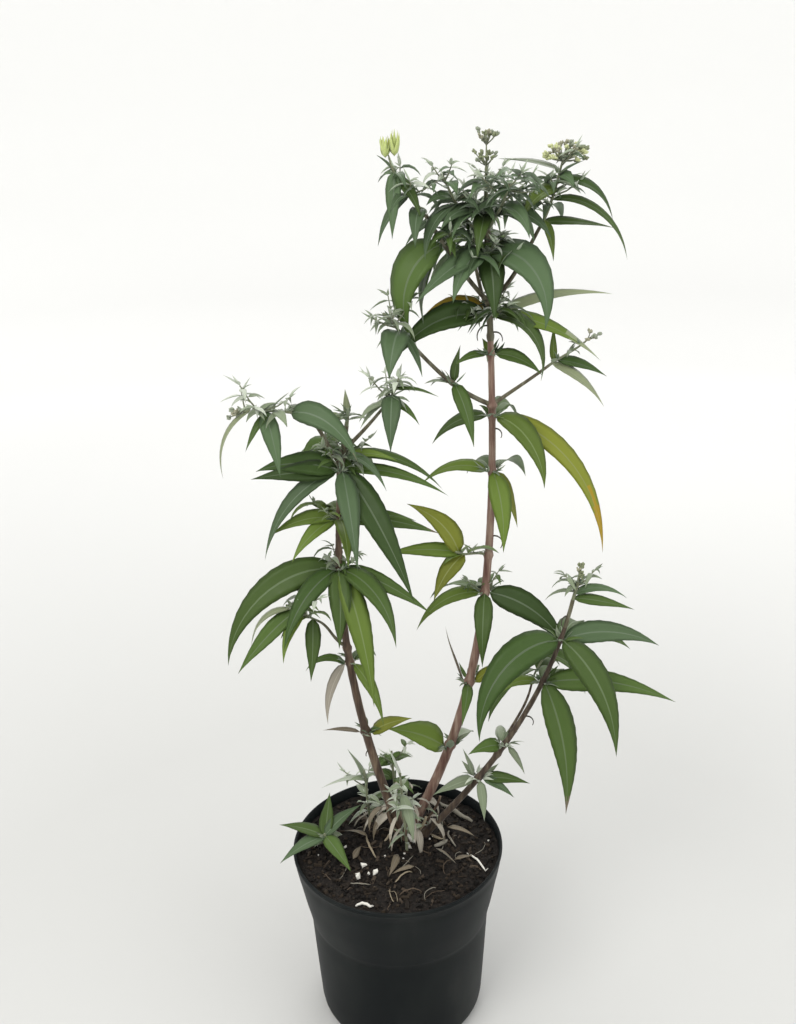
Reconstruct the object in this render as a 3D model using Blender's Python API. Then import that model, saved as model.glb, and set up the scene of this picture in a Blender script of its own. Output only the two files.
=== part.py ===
"""Butterfly bush in its nursery pot: three stems, their boughs and the masses of leaves on them."""
import math
import random
from collections import namedtuple

import bmesh
import bpy
from mathutils import Vector
from mathutils.bvhtree import BVHTree

# Pot and soil, in metres
POT_HEIGHT = 0.170
POT_RIM_RADIUS = 0.095
POT_WALL = 0.0018
POT_FLOOR = 0.0025
POT_SIDES = 34
# Height and outer radius down the pot: rolled rim, flared collar, tapering body, rounded foot
POT_OUTLINE = (
    (0.170, 0.0945), (0.168, 0.0950), (0.159, 0.0935), (0.142, 0.0900), (0.120, 0.0858),
    (0.104, 0.0822), (0.092, 0.0810), (0.012, 0.0760), (0.004, 0.0738), (0.000, 0.0700),
)
SOIL_LEVEL = 0.1635
SOIL_FLAT_RADIUS = 0.055
SOIL_TILT = 0.0045
GAP = 0.0003

# Limbs, in metres and degrees
FLARE_HEIGHT = 0.018
FLARE_WIDTH = 0.7
HANDLE = 0.35
STEM_SIDES = 9
STEM_STEPS = 14
BOUGH_SIDES = 6
BOUGH_STEPS = 6
SHOOT_SIDES = 5
SHOOT_STEPS = 3
STALK_SIDES = 3
COLLAR_WIDTH = 0.0022
COLLAR_THICKNESS = 0.0016
ROOT_DEPTH = 0.55
LOWEST_ROOT = 0.06
ROOT_STRETCH = 0.90

# Leaves: each blade's width along it, as shares of its length and width, in more steps on long ones
LONG_LEAF = 0.055
SHORT_LEAF = 0.030
LONG_STATIONS = ((0.0, 0.13), (0.18, 0.93), (0.42, 0.93), (0.72, 0.44))
MIDDLE_STATIONS = ((0.0, 0.14), (0.28, 1.0), (0.64, 0.64))
SHORT_STATIONS = ((0.0, 0.22), (0.40, 1.0))
KEEL_DEPTH = 0.10
FOLD_RISE = 0.10
LEAF_CURVE_STEPS = 12
LEAF_CLEARANCE = 0.0012
TURN_TRIES = (0, 14, -14, 28, -28, 42, -42, 60, -60)
LENGTH_TRIES = (1.0, 0.8, 0.6)
SHORTEST_LEAF = 0.010
RULE_TURN = 30
PAIR_TURN = 90
FIRST_PAIR_HEADING = 40
TIP_SHRINK = 0.45
AXIL_LEAVES = 2
AXIL_LENGTH = (0.013, 0.023)
AXIL_WIDTH = (0.0035, 0.0055)
BUD_TURN = 137.5
BUD_STRETCH = 1.5
BUD_STALK_RADIUS = 0.0007
FLAT_ANGLE = math.radians(0.5)

# A limb runs from its foot to its tip; each end leans by a heading, turned anticlockwise from the
# right as seen from above (270 faces the front), and a pitch above the horizontal.
Limb = namedtuple("Limb", "host at foot tip start_lean end_lean foot_radius tip_radius")
Leaf = namedtuple("Leaf", "along heading rise fall length width turn")
Mass = namedtuple("Mass", "limb seed pairs length width reach_down tip leaves")

STEMS = {
    "tall_stem": Limb(None, 0, (0.012, 0.026), (0.080, 0.030, 0.722), (0, 62), (180, 88), 0.0045, 0.0019),
    "left_stem": Limb(None, 0, (0.006, 0.010), (-0.030, -0.005, 0.560), (185, 72), (0, 80), 0.0043, 0.0018),
    "right_stem": Limb(None, 0, (0.022, 0.012), (0.149, -0.010, 0.410), (340, 52), (0, 79), 0.0032, 0.0016),
}

# Boughs grow from a stem at a height; the tip is where each enters its mass of leaves.
BOUGHS = {
    "tall_left_bough": Limb("tall_stem", 0.565, None, (0.019, 0.010, 0.622), (190, 25), (180, 48), 0.0019, 0.0013),
    "tall_right_bough": Limb("tall_stem", 0.565, None, (0.130, 0.025, 0.597), (0, 35), (355, 38), 0.0016, 0.0011),
    "left_left_bough": Limb("left_stem", 0.528, None, (-0.066, -0.015, 0.573), (190, 55), (185, 15), 0.0018, 0.0012),
    "left_right_bough": Limb("left_stem", 0.540, None, (-0.002, -0.015, 0.575), (345, 45), (340, 50), 0.0016, 0.0011),
    "left_low_bough": Limb("left_stem", 0.366, None, (-0.060, -0.012, 0.398), (200, 45), (205, 35), 0.0014, 0.0010),
    "left_back_bough": Limb("left_stem", 0.455, None, (-0.042, 0.050, 0.510), (90, 40), (95, 50), 0.0016, 0.0011),
    "crown_left_bough": Limb("tall_stem", 0.646, None, (0.033, 0.010, 0.714), (200, 45), (190, 55), 0.0018, 0.0012),
    "crown_right_bough": Limb("tall_stem", 0.646, None, (0.122, 0.035, 0.702), (10, 40), (5, 60), 0.0018, 0.0013),
    "crown_back_bough": Limb("tall_stem", 0.620, None, (0.075, 0.080, 0.680), (90, 40), (90, 50), 0.0017, 0.0012),
    "right_back_bough": Limb("right_stem", 0.262, None, (0.125, 0.045, 0.302), (55, 35), (70, 40), 0.0014, 0.0010),
}

# Short stems of the masses that sit at a bough's or a stem's tip, on a stem's side, or in the soil
SHOOTS = {
    "tall_mid_spray": Limb("tall_stem", 0.436, None, (0.054, 0.010, 0.447), (195, 20), (185, 30), 0.0013, 0.0009),
    "tall_left_spray": Limb("tall_left_bough", 1, None, (0.001, -0.002, 0.645), (180, 48), (185, 50), 0.0013, 0.0008),
    "tall_right_spray": Limb("tall_right_bough", 1, None, (0.158, 0.020, 0.617), (355, 38), (350, 45), 0.0011, 0.0007),
    "left_left_spray": Limb("left_left_bough", 1, None, (-0.107, -0.020, 0.577), (185, 15), (180, 0), 0.0012, 0.0008),
    "left_right_spray": Limb("left_right_bough", 1, None, (0.011, -0.016, 0.598), (340, 50), (10, 80), 0.0011, 0.0008),
    "left_low_spray": Limb("left_low_bough", 1, None, (-0.083, -0.024, 0.416), (205, 35), (195, 30), 0.0010, 0.0007),
    "left_back_spray": Limb("left_back_bough", 1, None, (-0.052, 0.085, 0.528), (95, 50), (100, 40), 0.0011, 0.0007),
    "left_tip_spray": Limb("left_stem", 1, None, (-0.028, -0.008, 0.573), (0, 80), (0, 85), 0.0017, 0.0009),
    "crown_left_spray": Limb("crown_left_bough", 1, None, (0.009, 0.004, 0.752), (190, 55), (160, 80), 0.0012, 0.0008),
    "crown_right_spray": Limb("crown_right_bough", 1, None, (0.137, 0.033, 0.748), (5, 60), (0, 75), 0.0013, 0.0008),
    "crown_back_spray": Limb("crown_back_bough", 1, None, (0.078, 0.104, 0.712), (90, 50), (80, 70), 0.0012, 0.0008),
    "crown_centre_spray": Limb("tall_stem", 0.696, None, (0.046, 0.010, 0.742), (195, 30), (180, 65), 0.0014, 0.0008),
    "crown_front_spray": Limb("tall_stem", 0.700, None, (0.092, -0.014, 0.734), (290, 35), (280, 50), 0.0014, 0.0008),
    "crown_tip_spray": Limb("tall_stem", 1, None, (0.080, 0.030, 0.746), (180, 88), (180, 89), 0.0017, 0.0009),
    "right_tip_spray": Limb("right_stem", 1, None, (0.153, -0.011, 0.430), (0, 79), (0, 84), 0.0015, 0.0012),
    "right_back_spray": Limb("right_back_bough", 1, None, (0.152, 0.078, 0.338), (70, 40), (75, 35), 0.0010, 0.0007),
    "star_shoot": Limb("soil", 0, (-0.062, 0.000), (-0.066, -0.003, 0.181), (180, 70), (200, 75), 0.0015, 0.0011),
    "back_left_shoot": Limb("soil", 0, (-0.024, 0.034), (-0.030, 0.034, 0.222), (180, 75), (170, 80), 0.0014, 0.0009),
    "front_shoot": Limb("soil", 0, (0.008, -0.008), (0.004, -0.010, 0.248), (270, 78), (265, 80), 0.0014, 0.0009),
    "back_shoot": Limb("soil", 0, (0.000, 0.052), (-0.004, 0.060, 0.225), (110, 70), (100, 70), 0.0014, 0.0009),
}

# Masses of leaves. A whorl is (limb, height) with a collar round it; a shoot has leaf pairs.
# Each leaf: place along the shoot, heading, pitch at its root and at its tip, length, width, and
# how far its upper face turns to the front.
MASSES = {
    "tall_base_whorl": Mass(("tall_stem", 0.252), 10, 1, 0.045, 0.014, 40, None, (
        Leaf(0, 196, 46, 14, 0.060, 0.028, 30), Leaf(0, 270, 60, 40, 0.028, 0.008, 0))),
    "tall_low_whorl": Mass(("tall_stem", 0.316), 11, 2, 0.045, 0.010, 50, None, (
        Leaf(0, 345, 55, 35, 0.036, 0.010, 50), Leaf(0, 165, 65, 80, 0.055, 0.005, 10))),
    "tall_second_whorl": Mass(("tall_stem", 0.402), 12, 2, 0.070, 0.016, 60, None, (
        Leaf(0, 188, 15, -65, 0.068, 0.014, 35), Leaf(0, 262, -25, -88, 0.065, 0.016, 0),
        Leaf(0, 338, -5, -55, 0.085, 0.023, 55))),
    "tall_mid_spray": Mass(None, 13, 1, 0.040, 0.012, 50, None, (
        Leaf(0.9, 172, 75, 20, 0.062, 0.019, 50), Leaf(0.8, 180, 20, -15, 0.066, 0.013, 50),
        Leaf(0.7, 212, -20, -70, 0.048, 0.016, 30))),
    "tall_fourth_whorl": Mass(("tall_stem", 0.510), 14, 2, 0.060, 0.014, 60, None, (
        Leaf(0, 176, 35, -50, 0.060, 0.013, 40), Leaf(0, 283, -40, -88, 0.068, 0.018, 0),
        Leaf(0, 320, -45, -80, 0.050, 0.012, 20))),
    "tall_fifth_whorl": Mass(("tall_stem", 0.556), 15, 2, 0.060, 0.014, 60, None, (
        Leaf(0, 325, 5, -95, 0.078, 0.020, 25), Leaf(0, 345, -10, -85, 0.152, 0.018, 50))),
    "tall_sixth_whorl": Mass(("tall_stem", 0.606), 16, 1, 0.045, 0.011, 50, None, (
        Leaf(0, 345, 10, -50, 0.042, 0.012, 45), Leaf(0, 200, 20, -40, 0.030, 0.008, 30))),
    "tall_left_whorl": Mass(("tall_left_bough", 0.586), 19, 1, 0.025, 0.007, 50, None, (
        Leaf(0, 60, 75, 60, 0.030, 0.009, 0), Leaf(0, 300, -40, -75, 0.054, 0.013, 20),
        Leaf(0, 190, 30, -20, 0.020, 0.006, 0))),
    "crown_low_whorl": Mass(("tall_stem", 0.636), 17, 1, 0.075, 0.018, 70, None, (
        Leaf(0, 194, 16, -52, 0.084, 0.022, 60), Leaf(0, 335, 15, -105, 0.074, 0.017, 30),
        Leaf(0, 350, 5, -45, 0.092, 0.014, 50), Leaf(0, 171, 40, -42, 0.056, 0.019, 50),
        Leaf(0, 8, 35, -15, 0.100, 0.010, 45))),
    "crown_mid_whorl": Mass(("tall_stem", 0.684), 18, 2, 0.075, 0.018, 70, None, (
        Leaf(0, 208, 5, -45, 0.082, 0.016, 50), Leaf(0, 325, 25, -110, 0.090, 0.027, 40),
        Leaf(0, 275, -30, -88, 0.056, 0.020, 20), Leaf(0, 232, 10, -75, 0.060, 0.018, 30))),
    "crown_left_whorl": Mass(("crown_left_bough", 0.692), 57, 1, 0.050, 0.014, 70, None, (
        Leaf(0, 198, -15, -115, 0.082, 0.032, 35), Leaf(0, 305, -50, -88, 0.052, 0.013, 10),
        Leaf(0, 240, -40, -100, 0.062, 0.022, 0))),
    "crown_high_whorl": Mass(("tall_stem", 0.7115), 63, 2, 0.049, 0.012, 60, None, (
        Leaf(0, 200, 30, -40, 0.056, 0.014, 30), Leaf(0, 335, 30, -60, 0.056, 0.015, 30),
        Leaf(0, 268, 12, -84, 0.049, 0.014, 14), Leaf(0, 232, 34, -62, 0.051, 0.012, 25))),
    "left_base_whorl": Mass(("left_stem", 0.282), 20, 1, 0.035, 0.009, 50, None, (
        Leaf(0, 340, 45, 15, 0.044, 0.015, 30), Leaf(0, 195, 30, 0, 0.034, 0.005, 20))),
    "left_low_whorl": Mass(("left_stem", 0.352), 21, 1, 0.045, 0.011, 60, None, (
        Leaf(0, 180, 40, -55, 0.038, 0.007, 40), Leaf(0, 320, -30, -80, 0.060, 0.012, 20),
        Leaf(0, 208, -50, -88, 0.058, 0.010, 20))),
    "left_second_whorl": Mass(("left_stem", 0.440), 22, 1, 0.075, 0.018, 60, None, (
        Leaf(0, 190, 20, -88, 0.138, 0.025, 55), Leaf(0, 268, -30, -90, 0.066, 0.019, 0),
        Leaf(0, 300, -35, -90, 0.118, 0.020, 10), Leaf(0, 322, -5, -80, 0.082, 0.019, 30),
        Leaf(0, 345, 0, -45, 0.082, 0.014, 50), Leaf(0, 222, -10, -70, 0.080, 0.017, 40))),
    "left_third_whorl": Mass(("left_stem", 0.484), 23, 2, 0.060, 0.014, 60, None, (
        Leaf(0, 190, 25, -40, 0.055, 0.014, 40), Leaf(0, 215, 0, -60, 0.052, 0.013, 40),
        Leaf(0, 350, 25, -20, 0.060, 0.012, 40), Leaf(0, 5, -5, -20, 0.080, 0.014, 50))),
    "left_fourth_whorl": Mass(("left_stem", 0.524), 24, 1, 0.070, 0.016, 60, None, (
        Leaf(0, 192, -15, -75, 0.096, 0.014, 45), Leaf(0, 178, 25, -20, 0.066, 0.020, 45),
        Leaf(0, 184, 5, -10, 0.068, 0.018, 50), Leaf(0, 285, -20, -90, 0.084, 0.018, 0),
        Leaf(0, 315, -30, -68, 0.118, 0.022, 30), Leaf(0, 350, 15, -35, 0.085, 0.010, 45))),
    "left_fifth_whorl": Mass(("left_stem", 0.536), 25, 1, 0.055, 0.013, 60, None, (
        Leaf(0, 352, 25, -55, 0.085, 0.010, 45), Leaf(0, 330, 30, -20, 0.048, 0.008, 40),
        Leaf(0, 310, 20, -50, 0.055, 0.009, 30))),
    "right_base_whorl": Mass(("right_stem", 0.236), 30, 1, 0.030, 0.010, 40, None, (
        Leaf(0, 352, 15, -20, 0.042, 0.011, 35), Leaf(0, 335, 0, -40, 0.032, 0.009, 20),
        Leaf(0, 195, 0, -25, 0.040, 0.011, 35), Leaf(0, 280, -40, -80, 0.036, 0.009, 0),
        Leaf(0, 150, 75, 60, 0.028, 0.007, 0))),
    "right_low_whorl": Mass(("right_stem", 0.272), 31, 0, 0.030, 0.010, 50, None, (
        Leaf(0, 200, 30, -30, 0.032, 0.013, 50), Leaf(0, 310, -20, -60, 0.028, 0.006, 20),
        Leaf(0, 80, 20, -40, 0.040, 0.010, 20))),
    "right_mid_whorl": Mass(("right_stem", 0.334), 32, 1, 0.075, 0.018, 60, None, (
        Leaf(0, 302, -55, -90, 0.118, 0.025, 20), Leaf(0, 352, 15, -25, 0.110, 0.020, 55),
        Leaf(0, 170, 15, -60, 0.040, 0.010, 30))),
    "right_upper_whorl": Mass(("right_stem", 0.374), 33, 1, 0.080, 0.018, 60, None, (
        Leaf(0, 208, 15, -90, 0.120, 0.028, 45), Leaf(0, 5, 25, -35, 0.086, 0.019, 45),
        Leaf(0, 308, -20, -80, 0.106, 0.024, 30), Leaf(0, 30, 5, -45, 0.085, 0.014, 45),
        Leaf(0, 175, 15, -85, 0.052, 0.007, 40))),
    "tall_left_spray": Mass(None, 41, 3, 0.032, 0.006, 60, None, (
        Leaf(0.3, 255, 10, -85, 0.050, 0.022, 10), Leaf(0.1, 315, -30, -80, 0.036, 0.007, 20))),
    "tall_right_spray": Mass(None, 42, 1, 0.020, 0.005, 50, "buds", (
        Leaf(0.05, 85, 70, 80, 0.030, 0.006, 0), Leaf(0.15, 355, -5, -30, 0.042, 0.011, 40),
        Leaf(0.0, 340, -10, -60, 0.055, 0.010, 40))),
    "left_left_spray": Mass(None, 43, 4, 0.028, 0.008, 60, "buds", (
        Leaf(0.6, 305, -50, -85, 0.052, 0.014, 30), Leaf(0.9, 200, -20, -100, 0.060, 0.005, 30),
        Leaf(0.05, 0, 20, -70, 0.072, 0.019, 55), Leaf(0.5, 215, -40, -60, 0.036, 0.007, 20))),
    "left_right_spray": Mass(None, 44, 4, 0.030, 0.006, 50, None, (
        Leaf(0.5, 265, -10, -90, 0.050, 0.015, 0), Leaf(0.3, 330, 0, -60, 0.032, 0.007, 30),
        Leaf(0.7, 350, 10, -25, 0.034, 0.006, 30), Leaf(0.4, 195, -20, -60, 0.034, 0.007, 30))),
    "left_low_spray": Mass(None, 45, 2, 0.034, 0.009, 60, None, (
        Leaf(0.75, 200, -20, -60, 0.070, 0.015, 40), Leaf(0.1, 262, -50, -80, 0.052, 0.013, 20),
        Leaf(0.95, 190, 10, -85, 0.050, 0.007, 30), Leaf(0.5, 240, -10, -75, 0.045, 0.010, 20))),
    "left_back_spray": Mass(None, 46, 3, 0.070, 0.016, 70, None, ()),
    "left_tip_spray": Mass(None, 47, 1, 0.030, 0.008, 60, None, (
        Leaf(0.6, 100, 70, 60, 0.022, 0.006, 0), Leaf(0.3, 200, 40, -20, 0.034, 0.008, 20))),
    "crown_left_spray": Mass(None, 51, 2, 0.036, 0.009, 70, "tuft", (
        Leaf(0.35, 195, -30, -75, 0.044, 0.011, 30), Leaf(0.85, 250, -70, -88, 0.048, 0.012, 0),
        Leaf(0.75, 330, -40, -70, 0.036, 0.011, 30), Leaf(0.05, 260, 0, -80, 0.040, 0.012, 10))),
    "crown_right_spray": Mass(None, 52, 2, 0.038, 0.009, 70, "cluster", (
        Leaf(0.9, 178, 25, 0, 0.048, 0.009, 30), Leaf(0.6, 210, 0, -50, 0.048, 0.015, 30),
        Leaf(0.7, 345, 20, -75, 0.056, 0.012, 40), Leaf(0.4, 352, 15, -80, 0.082, 0.009, 40),
        Leaf(0.0, 0, 5, -15, 0.056, 0.010, 40), Leaf(0.05, 300, -40, -88, 0.034, 0.008, 10))),
    "crown_back_spray": Mass(None, 53, 4, 0.065, 0.016, 75, None, ()),
    "crown_centre_spray": Mass(None, 54, 4, 0.042, 0.011, 60, None, (
        Leaf(0.55, 265, 0, -85, 0.055, 0.014, 0), Leaf(0.3, 190, 20, -60, 0.055, 0.012, 40))),
    "crown_front_spray": Mass(None, 55, 3, 0.048, 0.013, 75, None, ()),
    "crown_tip_spray": Mass(None, 56, 2, 0.028, 0.007, 50, "panicle", ()),
    "right_tip_spray": Mass(None, 61, 1, 0.025, 0.007, 50, "spike", (
        Leaf(0.2, 355, 40, -40, 0.046, 0.008, 45), Leaf(0.3, 182, 30, -50, 0.028, 0.004, 30),
        Leaf(0.0, 345, 10, -20, 0.050, 0.010, 40))),
    "right_back_spray": Mass(None, 62, 3, 0.075, 0.018, 70, None, ()),
    "star_shoot": Mass(None, 71, 1, 0.022, 0.008, 30, None, (
        Leaf(0.9, 168, 25, -5, 0.044, 0.013, 20), Leaf(0.9, 215, 5, -20, 0.048, 0.014, 10),
        Leaf(0.9, 293, 0, -35, 0.055, 0.014, 10), Leaf(0.9, 35, 35, 10, 0.044, 0.013, 20),
        Leaf(0.9, 85, 40, 20, 0.042, 0.013, 10))),
    "back_left_shoot": Mass(None, 72, 3, 0.030, 0.008, 30, None, (
        Leaf(0.8, 150, 70, 50, 0.036, 0.009, 0), Leaf(0.9, 195, 15, -20, 0.042, 0.005, 20))),
    "front_shoot": Mass(None, 73, 3, 0.028, 0.008, 30, None, (
        Leaf(0.75, 290, -10, -88, 0.046, 0.011, 0), Leaf(0.97, 170, 75, 70, 0.032, 0.011, 0))),
    "back_shoot": Mass(None, 76, 3, 0.045, 0.012, 50, None, ()),
}

# Buds and spent flower heads at the shoots' tips: count, bud radius, spread and height, in metres
TIP_FORMS = {
    "buds": (3, 0.0022, 0.005, 0.010),
    "tuft": (4, 0.0028, 0.004, 0.010),
    "cluster": (6, 0.0031, 0.015, 0.010),
    "panicle": (7, 0.0032, 0.005, 0.026),
    "spike": (3, 0.0025, 0.0012, 0.014),
}

# Base colour, roughness and metallic value of each kind of piece
FINISHES = {
    "pot": ((0.012, 0.015, 0.016), 0.45, 0.0),
    "soil": ((0.022, 0.015, 0.010), 0.95, 0.0),
    "stem": ((0.120, 0.065, 0.045), 0.75, 0.0),
    "leaves": ((0.070, 0.140, 0.045), 0.60, 0.0),
    "young": ((0.190, 0.250, 0.180), 0.70, 0.0),
}
YOUNG_MASSES = ("star_shoot", "back_left_shoot", "front_shoot", "right_base_whorl", "left_right_spray",
                "tall_left_spray")


def clear_scene():
    for item in list(bpy.data.objects):
        bpy.data.objects.remove(item)


def material(kind):
    colour, roughness, metallic = FINISHES[kind]
    made = bpy.data.materials.get(kind) or bpy.data.materials.new(kind)
    made.use_nodes = True
    shader = made.node_tree.nodes["Principled BSDF"]
    shader.inputs["Base Color"].default_value = (*colour, 1)
    shader.inputs["Roughness"].default_value = roughness
    shader.inputs["Metallic"].default_value = metallic
    return made


def mesh_object(name, points, faces, kind):
    mesh = bpy.data.meshes.new(name)
    mesh.from_pydata([tuple(point) for point in points], [], faces)
    mesh.materials.append(material(kind))
    made = bpy.data.objects.new(name, mesh)
    bpy.context.scene.collection.objects.link(made)
    return made


def lean(heading, pitch):
    flat = math.cos(math.radians(pitch))
    turn = math.radians(heading)
    return Vector((flat * math.cos(turn), flat * math.sin(turn), math.sin(math.radians(pitch))))


def turned_solid(name, outline, sides, kind):
    """A closed solid of revolution from (height, radius) pairs, which start and end on the axis."""
    points = []
    rings = []
    for height, radius in outline:
        if radius == 0:
            rings.append([len(points)])
            points.append((0, 0, height))
            continue
        rings.append(list(range(len(points), len(points) + sides)))
        for step in range(sides):
            angle = 2 * math.pi * step / sides
            points.append((radius * math.cos(angle), radius * math.sin(angle), height))
    faces = []
    for upper, lower in zip(rings, rings[1:]):
        for step in range(sides):
            after = (step + 1) % sides
            corners = [upper[step % len(upper)], lower[step % len(lower)],
                       lower[after % len(lower)], upper[after % len(upper)]]
            faces.append(list(dict.fromkeys(corners)))
    return mesh_object(name, points, faces, kind)


def pot_inner_outline():
    """Height and radius down the inside of the wall, one wall's thickness in."""
    inner = [(height, radius - POT_WALL) for height, radius in POT_OUTLINE[1:-2]]
    inner[0] = (POT_HEIGHT, inner[0][1])
    inner.append((POT_FLOOR, inner[-1][1] - POT_WALL))
    return inner


def build_pot():
    outer = list(POT_OUTLINE)
    inner = pot_inner_outline()
    outline = [(POT_FLOOR, 0)] + inner[::-1] + outer + [(0, 0)]
    return turned_solid("pot", outline, POT_SIDES, "pot")


def soil_height(x, y):
    """The soil is level round the stems, and off them it climbs to the front rim and sinks behind."""
    radius = math.hypot(x, y)
    if radius <= SOIL_FLAT_RADIUS:
        return SOIL_LEVEL
    share = (radius - SOIL_FLAT_RADIUS) / (POT_RIM_RADIUS - SOIL_FLAT_RADIUS)
    return SOIL_LEVEL - SOIL_TILT * share * y / radius


def build_soil():
    inner = pot_inner_outline()
    side = [(height, radius - GAP) for height, radius in inner if height < SOIL_LEVEL - 2 * SOIL_TILT]
    side[-1] = (POT_FLOOR + GAP, side[-1][1])
    brim = inner[1][1] - 2 * GAP
    top = [(SOIL_LEVEL, 0), (SOIL_LEVEL, SOIL_FLAT_RADIUS), (SOIL_LEVEL, brim)]
    soil = turned_solid("soil", top + side + [(POT_FLOOR + GAP, 0)], POT_SIDES, "soil")
    for vertex in soil.data.vertices:
        if vertex.co.z > SOIL_LEVEL - GAP:
            vertex.co.z = soil_height(vertex.co.x, vertex.co.y)
    return soil


class Route:
    """A limb's axis: a cubic curve from foot to tip that leaves and arrives along its two leans."""

    def __init__(self, foot, tip, start_lean, end_lean, foot_radius, tip_radius, steps):
        foot = Vector(foot)
        tip = Vector(tip)
        reach = HANDLE * (tip - foot).length
        first = foot + lean(*start_lean) * reach
        last = tip - lean(*end_lean) * reach
        self.points = []
        for step in range(steps + 1):
            share = step / steps
            rest = 1 - share
            self.points.append(rest ** 3 * foot + 3 * rest ** 2 * share * first
                               + 3 * rest * share ** 2 * last + share ** 3 * tip)
        self.radii = [foot_radius + (tip_radius - foot_radius) * step / steps for step in range(steps + 1)]

    def at(self, share):
        place = min(max(share, 0), 1) * (len(self.points) - 1)
        low = min(int(place), len(self.points) - 2)
        part = place - low
        point = self.points[low].lerp(self.points[low + 1], part)
        radius = self.radii[low] * (1 - part) + self.radii[low + 1] * part
        return point, (self.points[low + 1] - self.points[low]).normalized(), radius

    def share_at_height(self, height):
        steps = len(self.points) - 1
        for step, (low, high) in enumerate(zip(self.points, self.points[1:])):
            if low.z <= height <= high.z:
                return (step + (height - low.z) / (high.z - low.z)) / steps
        return 1.0

    def distance(self, point):
        """How far a point lies outside the limb's skin."""
        nearest = 1.0
        for step, (low, high) in enumerate(zip(self.points, self.points[1:])):
            along = high - low
            share = min(max((point - low).dot(along) / along.length_squared, 0), 1)
            radius = self.radii[step] * (1 - share) + self.radii[step + 1] * share
            nearest = min(nearest, (point - low - along * share).length - radius)
        return nearest


def rings_along(points, radii, sides, first_level):
    """Vertices of rings square to a route; a level first ring lies flat, as a cut at the ground."""
    vertices = []
    side = Vector((0, 1, 0))
    for step, point in enumerate(points):
        along = (points[min(step + 1, len(points) - 1)] - points[max(step - 1, 0)]).normalized()
        if step == 0 and first_level:
            along = Vector((0, 0, 1))
        side = (side - along * side.dot(along)).normalized()
        other = along.cross(side)
        for corner in range(sides):
            angle = 2 * math.pi * corner / sides
            vertices.append(point + (side * math.cos(angle) + other * math.sin(angle)) * radii[step])
    return vertices


def tube_faces(rings, sides):
    faces = [list(range(sides))[::-1], [(rings - 1) * sides + corner for corner in range(sides)]]
    for ring in range(rings - 1):
        for corner in range(sides):
            after = (corner + 1) % sides
            faces.append([ring * sides + corner, ring * sides + after,
                          (ring + 1) * sides + after, (ring + 1) * sides + corner])
    return faces


def build_limb(name, route, sides, level=False):
    vertices = rings_along(route.points, route.radii, sides, level)
    made = mesh_object(name, vertices, tube_faces(len(route.points), sides), "stem")
    made.data.shade_smooth()
    return made


def stem_route(stem):
    """A stem's route from the soil, its radius widened to a root flare over the lowest stretch."""
    foot = Vector((*stem.foot, soil_height(*stem.foot) + GAP))
    route = Route(foot, stem.tip, stem.start_lean, stem.end_lean, stem.foot_radius, stem.tip_radius, STEM_STEPS)
    flared = [foot + (route.points[1] - foot) * share for share in (0.0, 0.25, 0.55)]
    route.points = flared + route.points[1:]
    route.radii = [route.radii[0]] * 3 + route.radii[1:]
    for step, point in enumerate(route.points):
        spread = max(0.0, 1 - (point.z - foot.z) / FLARE_HEIGHT)
        route.radii[step] *= 1 + FLARE_WIDTH * spread ** 2
    return route


def side_route(limb, routes, steps):
    """The route of a limb that grows from another limb or the soil, with its foot just clear."""
    ends = (limb.tip, limb.start_lean, limb.end_lean, limb.foot_radius, limb.tip_radius, steps)
    if limb.host == "soil":
        return Route(Vector((*limb.foot, soil_height(*limb.foot) + GAP)), *ends)
    host = routes[limb.host]
    if limb.at == 1:
        point, along, _ = host.at(1)
        return Route(point + along * GAP, *ends)
    point, _, _ = host.at(host.share_at_height(limb.at))
    outward = lean(*limb.start_lean)
    reach = 0.0
    while True:
        reach += GAP
        route = Route(point + outward * reach, *ends)
        ring = rings_along(route.points[:2], route.radii[:2], STEM_SIDES, False)[:STEM_SIDES]
        if min(host.distance(corner) for corner in ring) >= GAP:
            return route


def leaf_stations(leaf):
    if leaf.length >= LONG_LEAF:
        return LONG_STATIONS
    return MIDDLE_STATIONS if leaf.length >= SHORT_LEAF else SHORT_STATIONS


def blade(root, leaf, stations):
    """A leaf's vertices: three-sided sections down a midrib that bends over, ending in a point."""
    side = Vector((math.sin(math.radians(leaf.heading)), -math.cos(math.radians(leaf.heading)), 0))
    midrib = [Vector(root)]
    leans = []
    for step in range(LEAF_CURVE_STEPS):
        share = (step + 0.5) / LEAF_CURVE_STEPS
        along = lean(leaf.heading, leaf.rise + (leaf.fall - leaf.rise) * share ** 0.8)
        leans.append(along)
        midrib.append(midrib[-1] + along * leaf.length / LEAF_CURVE_STEPS)
    vertices = []
    front = -1 if side.y > 0 else 1
    turn = math.radians(leaf.turn)
    for share, width in stations:
        step = min(int(share * LEAF_CURVE_STEPS), LEAF_CURVE_STEPS - 1)
        along = leans[step]
        upward = side.cross(along)
        across = side * math.cos(turn) - upward * math.sin(turn) * front
        face = upward * math.cos(turn) + side * math.sin(turn) * front
        point = midrib[step]
        half = leaf.width * width / 2
        rise = face * FOLD_RISE * 2 * half
        keel = face * max(KEEL_DEPTH * 2 * half, leaf.length / 160)
        vertices += [point + across * half + rise, point - across * half + rise, point - keel]
    vertices.append(midrib[-1])
    return vertices


def blade_faces(sections):
    faces = [[0, 1, 2]]
    for section in range(sections - 1):
        low = 3 * section
        for corner in range(3):
            after = (corner + 1) % 3
            faces.append([low + after, low + corner, low + 3 + corner])
            faces.append([low + after, low + 3 + corner, low + 3 + after])
    last = 3 * (sections - 1)
    for corner in range(3):
        faces.append([last + (corner + 1) % 3, last + corner, last + 3])
    return faces


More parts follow.
